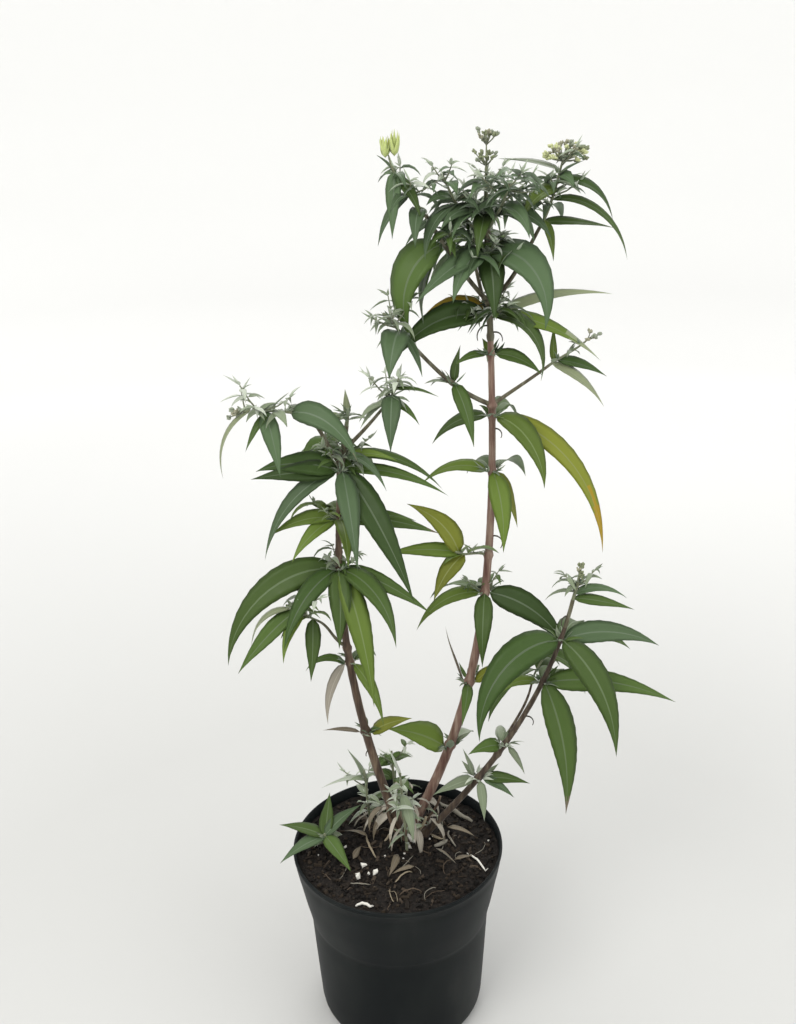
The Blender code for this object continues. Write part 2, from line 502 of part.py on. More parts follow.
def grown(vertices):
    """The same blade pushed out by the clearance that it keeps to other nodes."""
    middle = sum(vertices, Vector()) / len(vertices)
    wide = []
    for section in range(0, len(vertices) - 1, 3):
        centre = sum(vertices[section:section + 3], Vector()) / 3
        for vertex in vertices[section:section + 3]:
            wide.append(vertex + (vertex - centre).normalized() * LEAF_CLEARANCE)
    wide.append(vertices[-1] + (vertices[-1] - middle).normalized() * LEAF_CLEARANCE)
    return wide


class Space:
    """What other nodes fill, so that a leaf which would touch one of them is turned or skipped."""

    def __init__(self):
        self.trees = {}

    def add(self, name, vertices, faces):
        self.trees.setdefault(name, []).append(BVHTree.FromPolygons(vertices, faces))

    def free(self, name, vertices, faces):
        probe = BVHTree.FromPolygons(vertices, faces)
        for owner, trees in self.trees.items():
            if owner != name and any(probe.overlap(tree) for tree in trees):
                return False
        return all(vertex.z > POT_HEIGHT or math.hypot(vertex.x, vertex.y) > POT_RIM_RADIUS or
                   vertex.z > soil_height(vertex.x, vertex.y) for vertex in vertices)


def place_leaf(name, root, leaf, space):
    """The leaf at its own heading, or at the nearest one that is free, shortened at need."""
    for scale in LENGTH_TRIES:
        for turn in TURN_TRIES:
            tried = leaf._replace(heading=leaf.heading + turn, length=leaf.length * scale)
            stations = leaf_stations(tried)
            faces = blade_faces(len(stations))
            vertices = blade(root(tried), tried, stations)
            if tried.length >= SHORTEST_LEAF and space.free(name, grown(vertices), faces):
                return vertices, faces
    return None


def rule_leaves(mass, rng):
    """Leaves in crossed pairs along the shoot, shorter to its tip, besides those that the table names."""
    leaves = []
    for pair in range(mass.pairs):
        along = min((pair + 0.6) / mass.pairs, 0.97)
        for side in (0, 180):
            heading = PAIR_TURN * (pair % 2) + FIRST_PAIR_HEADING + side + rng.uniform(-20, 20)
            rise = rng.uniform(15, 50)
            fall = -mass.reach_down + rng.uniform(-15, 15)
            length = mass.length * (1 - TIP_SHRINK * along) * rng.uniform(0.8, 1.15)
            width = mass.width * rng.uniform(0.85, 1.15)
            leaves.append(Leaf(along, heading, rise, fall, length, width, rng.uniform(-RULE_TURN, RULE_TURN)))
    return leaves


def whorl_fill(mass, rng):
    """Leaves in the widest gaps between a whorl's named headings, mostly at the back."""
    headings = sorted(leaf.heading % 360 for leaf in mass.leaves)
    leaves = []
    for _ in range(mass.pairs):
        after = headings[1:] + headings[:1]
        gap, before = max(((high - low) % 360 or 360, low) for low, high in zip(headings, after))
        heading = (before + gap / 2 + rng.uniform(-15, 15)) % 360
        headings = sorted(headings + [heading])
        rise = rng.uniform(5, 35)
        fall = -mass.reach_down + rng.uniform(-15, 10)
        length = mass.length * rng.uniform(0.85, 1.15)
        leaves.append(Leaf(0, heading, rise, fall, length, mass.width, rng.uniform(-RULE_TURN, RULE_TURN)))
    return leaves


def axil_leaves(rng):
    """The small felted leaves of the young shoots that stand in the leaf axils."""
    leaves = []
    for _ in range(AXIL_LEAVES):
        along = rng.uniform(0, 0.9)
        heading = rng.uniform(0, 360)
        rise = rng.uniform(20, 70)
        fall = rng.uniform(-20, 30)
        length = rng.uniform(*AXIL_LENGTH)
        width = rng.uniform(*AXIL_WIDTH)
        leaves.append(Leaf(along, heading, rise, fall, length, width, rng.uniform(-RULE_TURN, RULE_TURN)))
    return leaves


def bud_vertices(centre, radius, along):
    """An eight-faced bud, longer along its stalk."""
    side = along.orthogonal().normalized()
    other = along.cross(side)
    return [centre + side * radius, centre + other * radius, centre - side * radius, centre - other * radius,
            centre + along * radius * BUD_STRETCH, centre - along * radius * BUD_STRETCH]


BUD_FACES = [[0, 1, 4], [1, 2, 4], [2, 3, 4], [3, 0, 4], [1, 0, 5], [2, 1, 5], [3, 2, 5], [0, 3, 5]]


def tip_pieces(form, route, rng):
    """Buds or spent flowers that climb past the shoot's tip on short stalks."""
    count, radius, spread, height = TIP_FORMS[form]
    tip, along, tip_radius = route.at(1)
    pieces = []
    top = tip + along * height
    stalk = [tip - along * 0.002, tip.lerp(top, 0.5), top]
    widths = [tip_radius * 0.95, tip_radius * 0.8, tip_radius * 0.5]
    pieces.append((rings_along(stalk, widths, STALK_SIDES, False), tube_faces(3, STALK_SIDES)))
    for number in range(count):
        share = (number + 0.5) / count
        start = tip.lerp(top, share)
        out = lean(BUD_TURN * number, rng.uniform(10, 45))
        centre = start + out * spread * rng.uniform(0.6, 1.0) * (1 - 0.4 * share)
        size = radius * rng.uniform(0.85, 1.2)
        pieces.append((bud_vertices(centre, size, out), BUD_FACES))
        link = [start - out * 0.0003, centre]
        if (centre - start).length > 2 * size:
            widths = [BUD_STALK_RADIUS, BUD_STALK_RADIUS]
            pieces.append((rings_along(link, widths, STALK_SIDES, False), tube_faces(2, STALK_SIDES)))
    return pieces


def collar(route, share):
    """The raised ring that joins a leaf pair round its stem, cut clear of the stem."""
    point, along, radius = route.at(share)
    inner = (radius + GAP) / math.cos(math.pi / STEM_SIDES) + 0.0002
    outer = inner + COLLAR_THICKNESS
    side = (Vector((0, 1, 0)) - along * along.y).normalized()
    other = along.cross(side)
    vertices = []
    for corner in range(STEM_SIDES):
        angle = 2 * math.pi * corner / STEM_SIDES
        out = side * math.cos(angle) + other * math.sin(angle)
        for reach, lift in ((inner, -0.5), (outer, -0.5), (outer, 0.5), (inner, 0.5)):
            vertices.append(point + out * reach + along * COLLAR_WIDTH * lift)
    faces = []
    for corner in range(STEM_SIDES):
        low = 4 * corner
        high = 4 * ((corner + 1) % STEM_SIDES)
        for edge in range(4):
            after = (edge + 1) % 4
            faces.append([low + edge, high + edge, high + after, low + after])
    return vertices, faces, point, inner


def mass_pieces(name, mass, routes, space):
    """Every closed shape of one mass: its stem or collar, its leaves and its buds."""
    rng = random.Random(mass.seed)
    if mass.limb:
        host = routes[mass.limb[0]]
        vertices, faces, centre, inner = collar(host, host.share_at_height(mass.limb[1]))
        pieces = [(vertices, faces)]
        leaves = list(mass.leaves) + whorl_fill(mass, rng) + axil_leaves(rng)

        def root(leaf):
            return centre + lean(leaf.heading, 0) * (inner + COLLAR_THICKNESS * ROOT_DEPTH)
    else:
        route = routes[name]
        pieces = [(rings_along(route.points, route.radii, SHOOT_SIDES, SHOOTS[name].host == "soil"),
                   tube_faces(len(route.points), SHOOT_SIDES))]
        leaves = list(mass.leaves) + rule_leaves(mass, rng) + axil_leaves(rng)

        def root(leaf):
            return route.at(LOWEST_ROOT + ROOT_STRETCH * leaf.along)[0]
    for vertices, faces in pieces:
        space.add(name, vertices, faces)
    for leaf in leaves:
        placed = place_leaf(name, root, leaf, space)
        if placed:
            pieces.append(placed)
            space.add(name, *placed)
    if mass.tip:
        for piece in tip_pieces(mass.tip, routes[name], rng):
            pieces.append(piece)
            space.add(name, *piece)
    return pieces


def fuse(name, pieces, kind):
    """One body from a mass's shapes by a Boolean union on a collection, without loose scraps."""
    base = mesh_object(name, *pieces[0], kind)
    group = bpy.data.collections.new(name + "_pieces")
    bpy.context.scene.collection.children.link(group)
    for number, (vertices, faces) in enumerate(pieces[1:]):
        mesh = bpy.data.meshes.new(name)
        mesh.from_pydata([tuple(vertex) for vertex in vertices], [], faces)
        mesh.materials.append(material(kind))
        group.objects.link(bpy.data.objects.new(f"{name}_{number}", mesh))
    union = base.modifiers.new("Union", "BOOLEAN")
    union.operation = "UNION"
    union.operand_type = "COLLECTION"
    union.collection = group
    union.solver = "MANIFOLD"
    fused = bpy.data.meshes.new_from_object(base.evaluated_get(bpy.context.evaluated_depsgraph_get()))
    base.modifiers.clear()
    base.data = fused
    for item in list(group.objects):
        bpy.data.objects.remove(item)
    bpy.data.collections.remove(group)
    keep_largest(fused)
    return base


def keep_largest(mesh):
    shape = bmesh.new()
    shape.from_mesh(mesh)
    bmesh.ops.dissolve_limit(shape, angle_limit=FLAT_ANGLE, verts=shape.verts, edges=shape.edges)
    bmesh.ops.triangulate(shape, faces=shape.faces)
    unseen = set(shape.verts)
    islands = []
    while unseen:
        stack = [unseen.pop()]
        island = []
        while stack:
            vertex = stack.pop()
            island.append(vertex)
            for edge in vertex.link_edges:
                other = edge.other_vert(vertex)
                if other in unseen:
                    unseen.remove(other)
                    stack.append(other)
        islands.append(island)
    islands.sort(key=len)
    for island in islands[:-1]:
        bmesh.ops.delete(shape, geom=island, context="VERTS")
    shape.to_mesh(mesh)
    shape.free()


def main():
    clear_scene()
    space = Space()
    for piece in (build_pot(), build_soil()):
        space.add(piece.name, [vertex.co for vertex in piece.data.vertices],
                  [list(face.vertices) for face in piece.data.polygons])
    routes = {}
    for name, stem in STEMS.items():
        routes[name] = stem_route(stem)
        build_limb(name, routes[name], STEM_SIDES, level=True)
    for name, bough in BOUGHS.items():
        routes[name] = side_route(bough, routes, BOUGH_STEPS)
        build_limb(name, routes[name], BOUGH_SIDES)
    for name, shoot in SHOOTS.items():
        routes[name] = side_route(shoot, routes, SHOOT_STEPS)
    for name in list(STEMS) + list(BOUGHS):
        route = routes[name]
        sides = STEM_SIDES if name in STEMS else BOUGH_SIDES
        space.add(name, rings_along(route.points, route.radii, sides, name in STEMS),
                  tube_faces(len(route.points), sides))
    for name in SHOOTS:
        route = routes[name]
        space.add(name, rings_along(route.points, route.radii, SHOOT_SIDES, False),
                  tube_faces(len(route.points), SHOOT_SIDES))
    for name, mass in MASSES.items():
        kind = "young" if name in YOUNG_MASSES else "leaves"
        fuse(name, mass_pieces(name, mass, routes, space), kind)


if __name__ == "__main__":
    main()
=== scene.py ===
"""Looks of the butterfly bush in its nursery pot: leaves, twigs, bark, compost, pot and studio."""
import math
import random
from collections import namedtuple

import bpy
from mathutils import Matrix, Vector, noise
from mathutils.bvhtree import BVHTree


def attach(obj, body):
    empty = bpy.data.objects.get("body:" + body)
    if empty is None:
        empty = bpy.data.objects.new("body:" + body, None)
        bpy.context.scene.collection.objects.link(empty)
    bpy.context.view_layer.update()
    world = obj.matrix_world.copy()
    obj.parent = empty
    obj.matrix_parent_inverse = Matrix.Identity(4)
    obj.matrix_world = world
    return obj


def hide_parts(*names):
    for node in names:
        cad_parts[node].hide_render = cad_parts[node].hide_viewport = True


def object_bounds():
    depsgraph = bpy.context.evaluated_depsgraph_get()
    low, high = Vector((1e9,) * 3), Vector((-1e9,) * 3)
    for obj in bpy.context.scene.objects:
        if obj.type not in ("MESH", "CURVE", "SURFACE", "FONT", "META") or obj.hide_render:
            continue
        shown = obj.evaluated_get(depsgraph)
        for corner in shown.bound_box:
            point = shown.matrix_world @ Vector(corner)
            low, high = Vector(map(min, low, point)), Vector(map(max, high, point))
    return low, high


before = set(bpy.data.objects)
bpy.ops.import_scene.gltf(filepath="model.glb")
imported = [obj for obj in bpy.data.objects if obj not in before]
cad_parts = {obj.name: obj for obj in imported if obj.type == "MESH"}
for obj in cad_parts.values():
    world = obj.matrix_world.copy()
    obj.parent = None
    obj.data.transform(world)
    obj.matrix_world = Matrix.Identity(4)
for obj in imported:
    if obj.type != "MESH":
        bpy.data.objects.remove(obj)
CAD_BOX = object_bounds()

# Pot and soil, in metres
POT_HEIGHT = 0.170
POT_RIM_RADIUS = 0.095
POT_WALL = 0.0018
POT_FLOOR = 0.0025
POT_SIDES = 144
RIM_DROP = 0.0004
RIM_WALL = 0.6
SOIL_RINGS = 44
SOIL_SIDES = 132
PLUG_RINGS = 8
PLUG_GAP = 0.0002
SOIL_LEVEL = 0.1635
SOIL_FLAT_RADIUS = 0.055
SOIL_TILT = 0.0045
GAP = 0.0003

# Limbs, in metres and degrees
FLARE_HEIGHT = 0.018
FLARE_WIDTH = 0.7
FLARE_PLACES = (0.0, 0.25, 0.55)
HANDLE = 0.35
STEM_SIDES = 9
STEM_STEPS = 14
BOUGH_SIDES = 6
BOUGH_STEPS = 6
SHOOT_SIDES = 5
SHOOT_STEPS = 3
COLLAR_THICKNESS = 0.0016
COLLAR_CLEARANCE = 0.0002
ROOT_DEPTH = 0.55
LOWEST_ROOT = 0.06
ROOT_STRETCH = 0.90

# Bark relief: fine rings along a limb, its corners, ripples and the swellings where leaves stood
BARK_SIDES = 20
RING_SPACING = 0.0022
FEWEST_RINGS = 6
CORNERS = 4
CORNER_RELIEF = 0.045
RIPPLES_ROUND = 2
RIPPLES_ALONG = 90
RIPPLE_RELIEF = 0.07
NODE_SWELLING = 0.38
NODE_LENGTH = 0.0024
SINK = 0.0022
SHOOT_TUBE_SIDES = 8
TWIG_SIDES = 6
THIN_SIDES = 5
THREAD_SIDES = 4
BOUGH_SEED = 10

# Leaves: each blade's width along it, as shares of its length and width, in more steps on long ones,
# and the ranges by which the rule deals out leaves: turns and pitches in degrees, sizes in metres
LONG_LEAF = 0.055
SHORT_LEAF = 0.030
LONG_STATIONS = ((0.0, 0.13), (0.18, 0.93), (0.42, 0.93), (0.72, 0.44))
MIDDLE_STATIONS = ((0.0, 0.14), (0.28, 1.0), (0.64, 0.64))
SHORT_STATIONS = ((0.0, 0.22), (0.40, 1.0))
KEEL_DEPTH = 0.10
LENGTHS_TO_KEEL = 160
FOLD_RISE = 0.10
LEAF_CURVE_STEPS = 12
BEND_EARLY = 0.8
LEAF_CLEARANCE = 0.0012
TURN_TRIES = (0, 14, -14, 28, -28, 42, -42, 60, -60)
LENGTH_TRIES = (1.0, 0.8, 0.6)
SHORTEST_LEAF = 0.010
RULE_TURN = 30
PAIR_TURN = 90
PAIR_OFFSET = 0.6
LAST_PAIR_PLACE = 0.97
PAIR_SPREAD = 20
PAIR_RISE = (15, 50)
PAIR_FALL = (-15, 15)
PAIR_LENGTH = (0.8, 1.15)
PAIR_WIDTH = (0.85, 1.15)
FIRST_PAIR_HEADING = 40
TIP_SHRINK = 0.45
FILL_SPREAD = 15
FILL_RISE = (5, 35)
FILL_FALL = (-15, 10)
FILL_LENGTH = (0.85, 1.15)
AXIL_LEAVES = 2
AXIL_PLACE = (0, 0.9)
AXIL_RISE = (20, 70)
AXIL_FALL = (-20, 30)
AXIL_LENGTH = (0.013, 0.023)
AXIL_WIDTH = (0.0035, 0.0055)

# A drawn blade: places across its upper face and its under face, tooth depth, waves and thickness
ACROSS = (-1.0, -0.52, -0.065, 0.065, 0.52, 1.0)
UNDER = (0.52, 0.0, -0.52)
UNDER_MIDRIB = -2
BLADE_RING = len(ACROSS) + len(UNDER)
MARGINS = (0, len(ACROSS) - 1)
QUILT = 0.52
STATION_SPACING = 0.0042
FEWEST_STATIONS = 5
MOST_STATIONS = 26
TOOTH_DEPTH = 0.035
VEIN_RELIEF = 0.016
BLADE_THICKNESS = 0.00032
LENGTHS_TO_THICKNESS = 260
THICKEST_SHARE = 0.35
MIDRIB_RELIEF = 0.018
BELLY_PLACE = 0.62
BELLY_FULLNESS = 0.9
BELLY_WIDTH = 1.12
TIP_DRAW = 0.3
FOOT_WIDTH = 0.10
FOLD_RANGE = (0.5, 1.8)
FOLD_POWER = 1.3
WAVE_RANGE = (0.02, 0.08)
WAVES = 9
WAVE_START = (0, 6)
BLADE_TWIST = 28
BLADE_BEND = 0.03
TURNING_RANGE = (0.5, 0.7)
RAGGED_EDGE = 0.09
DRY_TIP_CHANCE = 0.10
DRY_TIP_PLACE = 0.88
PETIOLE_RADIUS = 0.0007
STALK_TAPER = (1.3, 1, 0.7)
LENGTHS_TO_PETIOLE = 70
GOLDEN_TURN = 137.5

# Finer growth that the photograph shows among the leaves: felted tufts in the axils, fine twigs
WHORL_TUFTS = 7
SPRAY_TUFTS = 3
TUFT_OF_WHORL = 2
TUFT_OF_SHOOT = 3
TUFT_SPREAD = 70
TUFT_RISE = (15, 80)
TUFT_FALL = (-30, 60)
FINE_SEED = 1000
TUFT_LENGTH = (0.006, 0.015)
TUFT_WIDTH = (0.0020, 0.0036)
FINE_TWIG_RADIUS = 0.0006
TWIG_LEAF_TURN = 25
TWIG_LEAF_RISE = (0, 45)
TWIG_LEAF_FALL = (-80, -30)
TwigForm = namedtuple("TwigForm", "reach pitch length width")
FINE_TWIG = TwigForm((0.014, 0.026), (20, 65), (0.011, 0.019), (0.0035, 0.0055))
LEAFY_TWIG = TwigForm((0.012, 0.030), (-10, 50), (0.020, 0.034), (0.0060, 0.0095))
TWIG_PLACE = (0.2, 1.0)
TWIG_PAIRS = (0.55, 0.85)
TWIG_SAG = 0.06
LEAFY = ("crown_centre_spray", "crown_front_spray", "crown_high_whorl", "crown_mid_whorl",
         "crown_right_spray", "crown_low_whorl", "crown_left_whorl", "left_third_whorl",
         "left_fourth_whorl", "left_second_whorl")
GREEN_BARK_FROM = {"tall_stem": 0.615, "left_stem": 0.500, "right_stem": 0.385}
FINE_TWIGS = {
    "crown_centre_spray": 8, "crown_front_spray": 8, "crown_high_whorl": 10, "crown_left_spray": 4,
    "crown_right_spray": 7, "crown_back_spray": 4, "crown_tip_spray": 2, "crown_mid_whorl": 10,
    "crown_low_whorl": 12, "crown_left_whorl": 4,
    "left_left_spray": 4, "left_right_spray": 4, "tall_left_spray": 4, "left_low_spray": 3,
    "left_fourth_whorl": 3, "left_fifth_whorl": 3, "left_third_whorl": 3, "left_second_whorl": 3,
    "front_shoot": 4, "back_left_shoot": 4, "back_shoot": 3, "tall_second_whorl": 2, "right_tip_spray": 2,
}

# Base colours of the leaves' upper faces, and how their midribs and under faces differ
TINTS = {
    "deep": (0.031, 0.062, 0.010),
    "mid": (0.053, 0.094, 0.016),
    "blue": (0.066, 0.108, 0.047),
    "light": (0.091, 0.140, 0.018),
    "yellow_green": (0.150, 0.170, 0.016),
    "ochre": (0.250, 0.170, 0.010),
    "pale": (0.195, 0.225, 0.120),
    "grey": (0.168, 0.206, 0.124),
    "silver": (0.400, 0.440, 0.350),
    "lime": (0.450, 0.490, 0.150),
    "dry": (0.135, 0.110, 0.074),
    "papery": (0.330, 0.300, 0.245),
}
FELTED = ("silver", "grey", "pale")
SHADES = (0.84, 1.0, 1.16)
FELT = 0.35
BARE_FELT = 0.04
UNDER_FELT = 0.25
UPPER_SHINE = (0.52, 0.26)
UNDER_SHINE = (0.80, 0.18)
RIB_SHINE = (0.55, 0.40, 0.10)
VEIN_MESH = 700
VEIN_BUMP = (0.45, 0.0002)
PATCH_SCALE = 120
PATCH_ROUGHNESS = (-0.12, 0.16)
RIB_LIGHTER = 0.032
UNDER_PALER = 0.085
UNDER_GREY = (0.84, 0.90, 0.80)

# What ends a shoot, as bunches: sideways and up from its tip, half width, half height, stalks, tints
HEADS = {
    "buds": ((0.0, 0.006, 0.0050, 0.004, 6, ("grey", "husk")),),
    "tuft": ((-0.007, 0.006, 0.0042, 0.0085, 11, ("lime",)), (0.006, 0.009, 0.0042, 0.0095, 11, ("lime",))),
    "cluster": ((-0.009, 0.008, 0.0075, 0.0050, 13, ("lime", "lime", "husk")),
                (0.003, 0.008, 0.0075, 0.0055, 12, ("lime", "husk", "grey")),
                (0.011, 0.005, 0.0070, 0.0060, 12, ("olive", "lime", "olive"))),
    "panicle": ((-0.001, 0.0075, 0.0085, 0.0036, 10, ("olive", "grey", "olive")),
                (0.001, 0.0220, 0.0080, 0.0036, 10, ("olive", "grey", "husk"))),
    "spike": ((0.0, 0.006, 0.0018, 0.007, 7, ("olive", "husk")),),
}
BUNCH_BEADS = 7
BUNCH_RADIUS = 0.0014
BEAD_RADIUS = (0.0008, 0.0013)
BEAD_SIDES = 6
BEAD_SECTIONS = ((-0.55, 0.85), (0.55, 0.80))
BEAD_ENDS = (1.3, 1.4)
YOUNG_RISE = (35, 70)
YOUNG_FALL = (80, 105)
YOUNG_LENGTH = (1.5, 2.0)
HEAD_FOOT = 0.002
HEAD_TAPER = (1, 0.7, 0.4)
STALK_BEND = 0.6
YOUNG_FOOT = (0.5, 0.3)
STALK_RADII = (0.0005, 0.0004, 0.0003)
STALK_DROOP = 0.0006
SILVERY = ("crown", "left_left", "left_right", "left_low_spray", "right_base", "right_low",
           "star", "back", "front")

# Withered side shoots: limb, height on it, heading and length
TWIGLETS = (
    ("tall_stem", 0.628, 190, 0.019), ("tall_stem", 0.622, 345, 0.015), ("tall_stem", 0.545, 350, 0.014),
    ("tall_stem", 0.452, 352, 0.020), ("tall_stem", 0.352, 20, 0.013), ("left_stem", 0.262, 205, 0.010),
    ("left_stem", 0.405, 20, 0.014), ("right_stem", 0.300, 350, 0.016), ("right_stem", 0.395, 200, 0.013),
    ("tall_stem", 0.665, 120, 0.018), ("left_stem", 0.470, 95, 0.016),
)
TWIGLET_SEED = 31
TWIGLET_STEPS = 9
TWIGLET_PITCH = (15, 40)
TWIGLET_HOOK = (12, 22)
TWIGLET_TURN = 4
TWIGLET_RADIUS = 0.0008
TWIGLET_TAPER = 0.00005

# Litter on the compost: place, heading, turn at each step, length, radius and finish
LITTER_REACH = 0.086
STRAWS = 42
LITTER = (
    ((-0.015, 0.058), 215, 3, 0.038, 0.0011, "straw_grey"),
    ((0.041, 0.066), 304, 2, 0.044, 0.0022, "straw_grey"),
    ((0.008, 0.014), 262, 10, 0.017, 0.0022, "perlite"),
    ((0.026, 0.038), 330, -14, 0.016, 0.0015, "straw_grey"),
    ((0.033, -0.004), 10, 6, 0.015, 0.0019, "straw_grey"),
    ((0.030, 0.012), 300, 8, 0.016, 0.0012, "straw"),
    ((0.062, -0.012), 305, -2, 0.034, 0.0009, "perlite"),
    ((-0.029, 0.015), 275, 3, 0.032, 0.0011, "straw"),
    ((-0.004, 0.020), 262, -5, 0.018, 0.0013, "straw"),
    ((0.048, 0.020), 250, 8, 0.024, 0.0010, "straw_grey"),
    ((0.012, -0.036), 200, 5, 0.020, 0.0007, "straw"),
    ((-0.045, -0.048), 330, 6, 0.022, 0.0006, "straw_grey"),
    ((-0.036, -0.079), 30, -14, 0.018, 0.0013, "perlite"),
    ((-0.010, 0.052), 30, -6, 0.026, 0.0010, "straw"),
    ((0.020, -0.060), 165, 8, 0.022, 0.0006, "straw_dark"),
)
PLANT_FOOT = (0.010, 0.012)
WITHERED = 18
PERLITE = (((-0.030, -0.027), 0.0026), ((-0.020, -0.035), 0.0024), ((-0.035, -0.041), 0.0024),
           ((-0.026, -0.036), 0.0013), ((0.010, -0.005), 0.0020), ((-0.048, 0.000), 0.0014))

# A limb has its host and place on it, its tip, the leans at both ends as heading (anticlockwise from
# the right seen from above, 270 at the front) and pitch above the horizontal, and two radii. One that
# stands in the soil also has its foot.
Limb = namedtuple("Limb", "host at tip start_lean end_lean foot_radius tip_radius foot", defaults=(None,))
Leaf = namedtuple("Leaf", "along heading rise fall length width turn")
Mass = namedtuple("Mass", "limb seed pairs length width reach_down tip tints leaves")

STEMS = {
    "tall_stem": Limb(None, 0, (0.08, 0.03, 0.722), (0, 62), (180, 88), 0.0045, 0.0019, (0.012, 0.026)),
    "left_stem": Limb(None, 0, (-0.03, -0.005, 0.56), (185, 72), (0, 80), 0.0043, 0.0018, (0.006, 0.010)),
    "right_stem": Limb(None, 0, (0.149, -0.01, 0.41), (340, 52), (0, 79), 0.0032, 0.0016, (0.022, 0.012)),
}

# Boughs grow from a stem at a height; the tip is where each enters its mass of leaves.
BOUGHS = {
    "tall_left_bough": Limb("tall_stem", 0.565, (0.019, 0.01, 0.622), (190, 25), (180, 48), 0.0019, 0.0013),
    "tall_right_bough": Limb("tall_stem", 0.565, (0.13, 0.025, 0.597), (0, 35), (355, 38), 0.0016, 0.0011),
    "left_left_bough": Limb(
        "left_stem", 0.528, (-0.066, -0.015, 0.573), (190, 55), (185, 15), 0.0018, 0.0012),
    "left_right_bough": Limb(
        "left_stem", 0.540, (-0.002, -0.015, 0.575), (345, 45), (340, 50), 0.0016, 0.0011),
    "left_low_bough": Limb("left_stem", 0.366, (-0.06, -0.012, 0.398), (200, 45), (205, 35), 0.0014, 0.001),
    "left_back_bough": Limb("left_stem", 0.455, (-0.042, 0.05, 0.51), (90, 40), (95, 50), 0.0016, 0.0011),
    "crown_left_bough": Limb("tall_stem", 0.646, (0.033, 0.01, 0.714), (200, 45), (190, 55), 0.0018, 0.0012),
    "crown_right_bough": Limb("tall_stem", 0.646, (0.122, 0.035, 0.702), (10, 40), (5, 60), 0.0018, 0.0013),
    "crown_back_bough": Limb("tall_stem", 0.620, (0.075, 0.08, 0.68), (90, 40), (90, 50), 0.0017, 0.0012),
    "right_back_bough": Limb("right_stem", 0.262, (0.125, 0.045, 0.302), (55, 35), (70, 40), 0.0014, 0.001),
}

# Short stems of the masses that sit at a bough's or a stem's tip, on a stem's side, or in the soil
SHOOTS = {
    "tall_mid_spray": Limb("tall_stem", 0.436, (0.054, 0.01, 0.447), (195, 20), (185, 30), 0.0013, 0.0009),
    "tall_left_spray": Limb(
        "tall_left_bough", 1, (0.001, -0.002, 0.645), (180, 48), (185, 50), 0.0013, 0.0008),
    "tall_right_spray": Limb(
        "tall_right_bough", 1, (0.158, 0.02, 0.617), (355, 38), (350, 45), 0.0011, 0.0007),
    "left_left_spray": Limb(
        "left_left_bough", 1, (-0.107, -0.02, 0.577), (185, 15), (180, 0), 0.0012, 0.0008),
    "left_right_spray": Limb(
        "left_right_bough", 1, (0.011, -0.016, 0.598), (340, 50), (10, 80), 0.0011, 0.0008),
    "left_low_spray": Limb("left_low_bough", 1, (-0.083, -0.024, 0.416), (205, 35), (195, 30), 0.001, 0.0007),
    "left_back_spray": Limb(
        "left_back_bough", 1, (-0.052, 0.085, 0.528), (95, 50), (100, 40), 0.0011, 0.0007),
    "left_tip_spray": Limb("left_stem", 1, (-0.028, -0.008, 0.573), (0, 80), (0, 85), 0.0017, 0.0009),
    "crown_left_spray": Limb(
        "crown_left_bough", 1, (0.009, 0.004, 0.752), (190, 55), (160, 80), 0.0012, 0.0008),
    "crown_right_spray": Limb(
        "crown_right_bough", 1, (0.137, 0.033, 0.748), (5, 60), (0, 75), 0.0013, 0.0008),
    "crown_back_spray": Limb(
        "crown_back_bough", 1, (0.078, 0.104, 0.712), (90, 50), (80, 70), 0.0012, 0.0008),
    "crown_centre_spray": Limb(
        "tall_stem", 0.696, (0.046, 0.01, 0.742), (195, 30), (180, 65), 0.0014, 0.0008),
    "crown_front_spray": Limb(
        "tall_stem", 0.700, (0.092, -0.014, 0.734), (290, 35), (280, 50), 0.0014, 0.0008),
    "crown_tip_spray": Limb("tall_stem", 1, (0.08, 0.03, 0.746), (180, 88), (180, 89), 0.0017, 0.0009),
    "right_tip_spray": Limb("right_stem", 1, (0.153, -0.011, 0.43), (0, 79), (0, 84), 0.0015, 0.0012),
    "right_back_spray": Limb("right_back_bough", 1, (0.152, 0.078, 0.338), (70, 40), (75, 35), 0.001, 0.0007),
    "star_shoot": Limb(
        "soil", 0, (-0.066, -0.003, 0.181), (180, 70), (200, 75), 0.0015, 0.0011, (-0.062, 0.000)),
    "back_left_shoot": Limb(
        "soil", 0, (-0.03, 0.034, 0.222), (180, 75), (170, 80), 0.0014, 0.0009, (-0.024, 0.034)),
    "front_shoot": Limb(
        "soil", 0, (0.004, -0.01, 0.248), (270, 78), (265, 80), 0.0014, 0.0009, (0.008, -0.008)),
    "back_shoot": Limb(
        "soil", 0, (-0.004, 0.06, 0.225), (110, 70), (100, 70), 0.0014, 0.0009, (0.000, 0.052)),
}

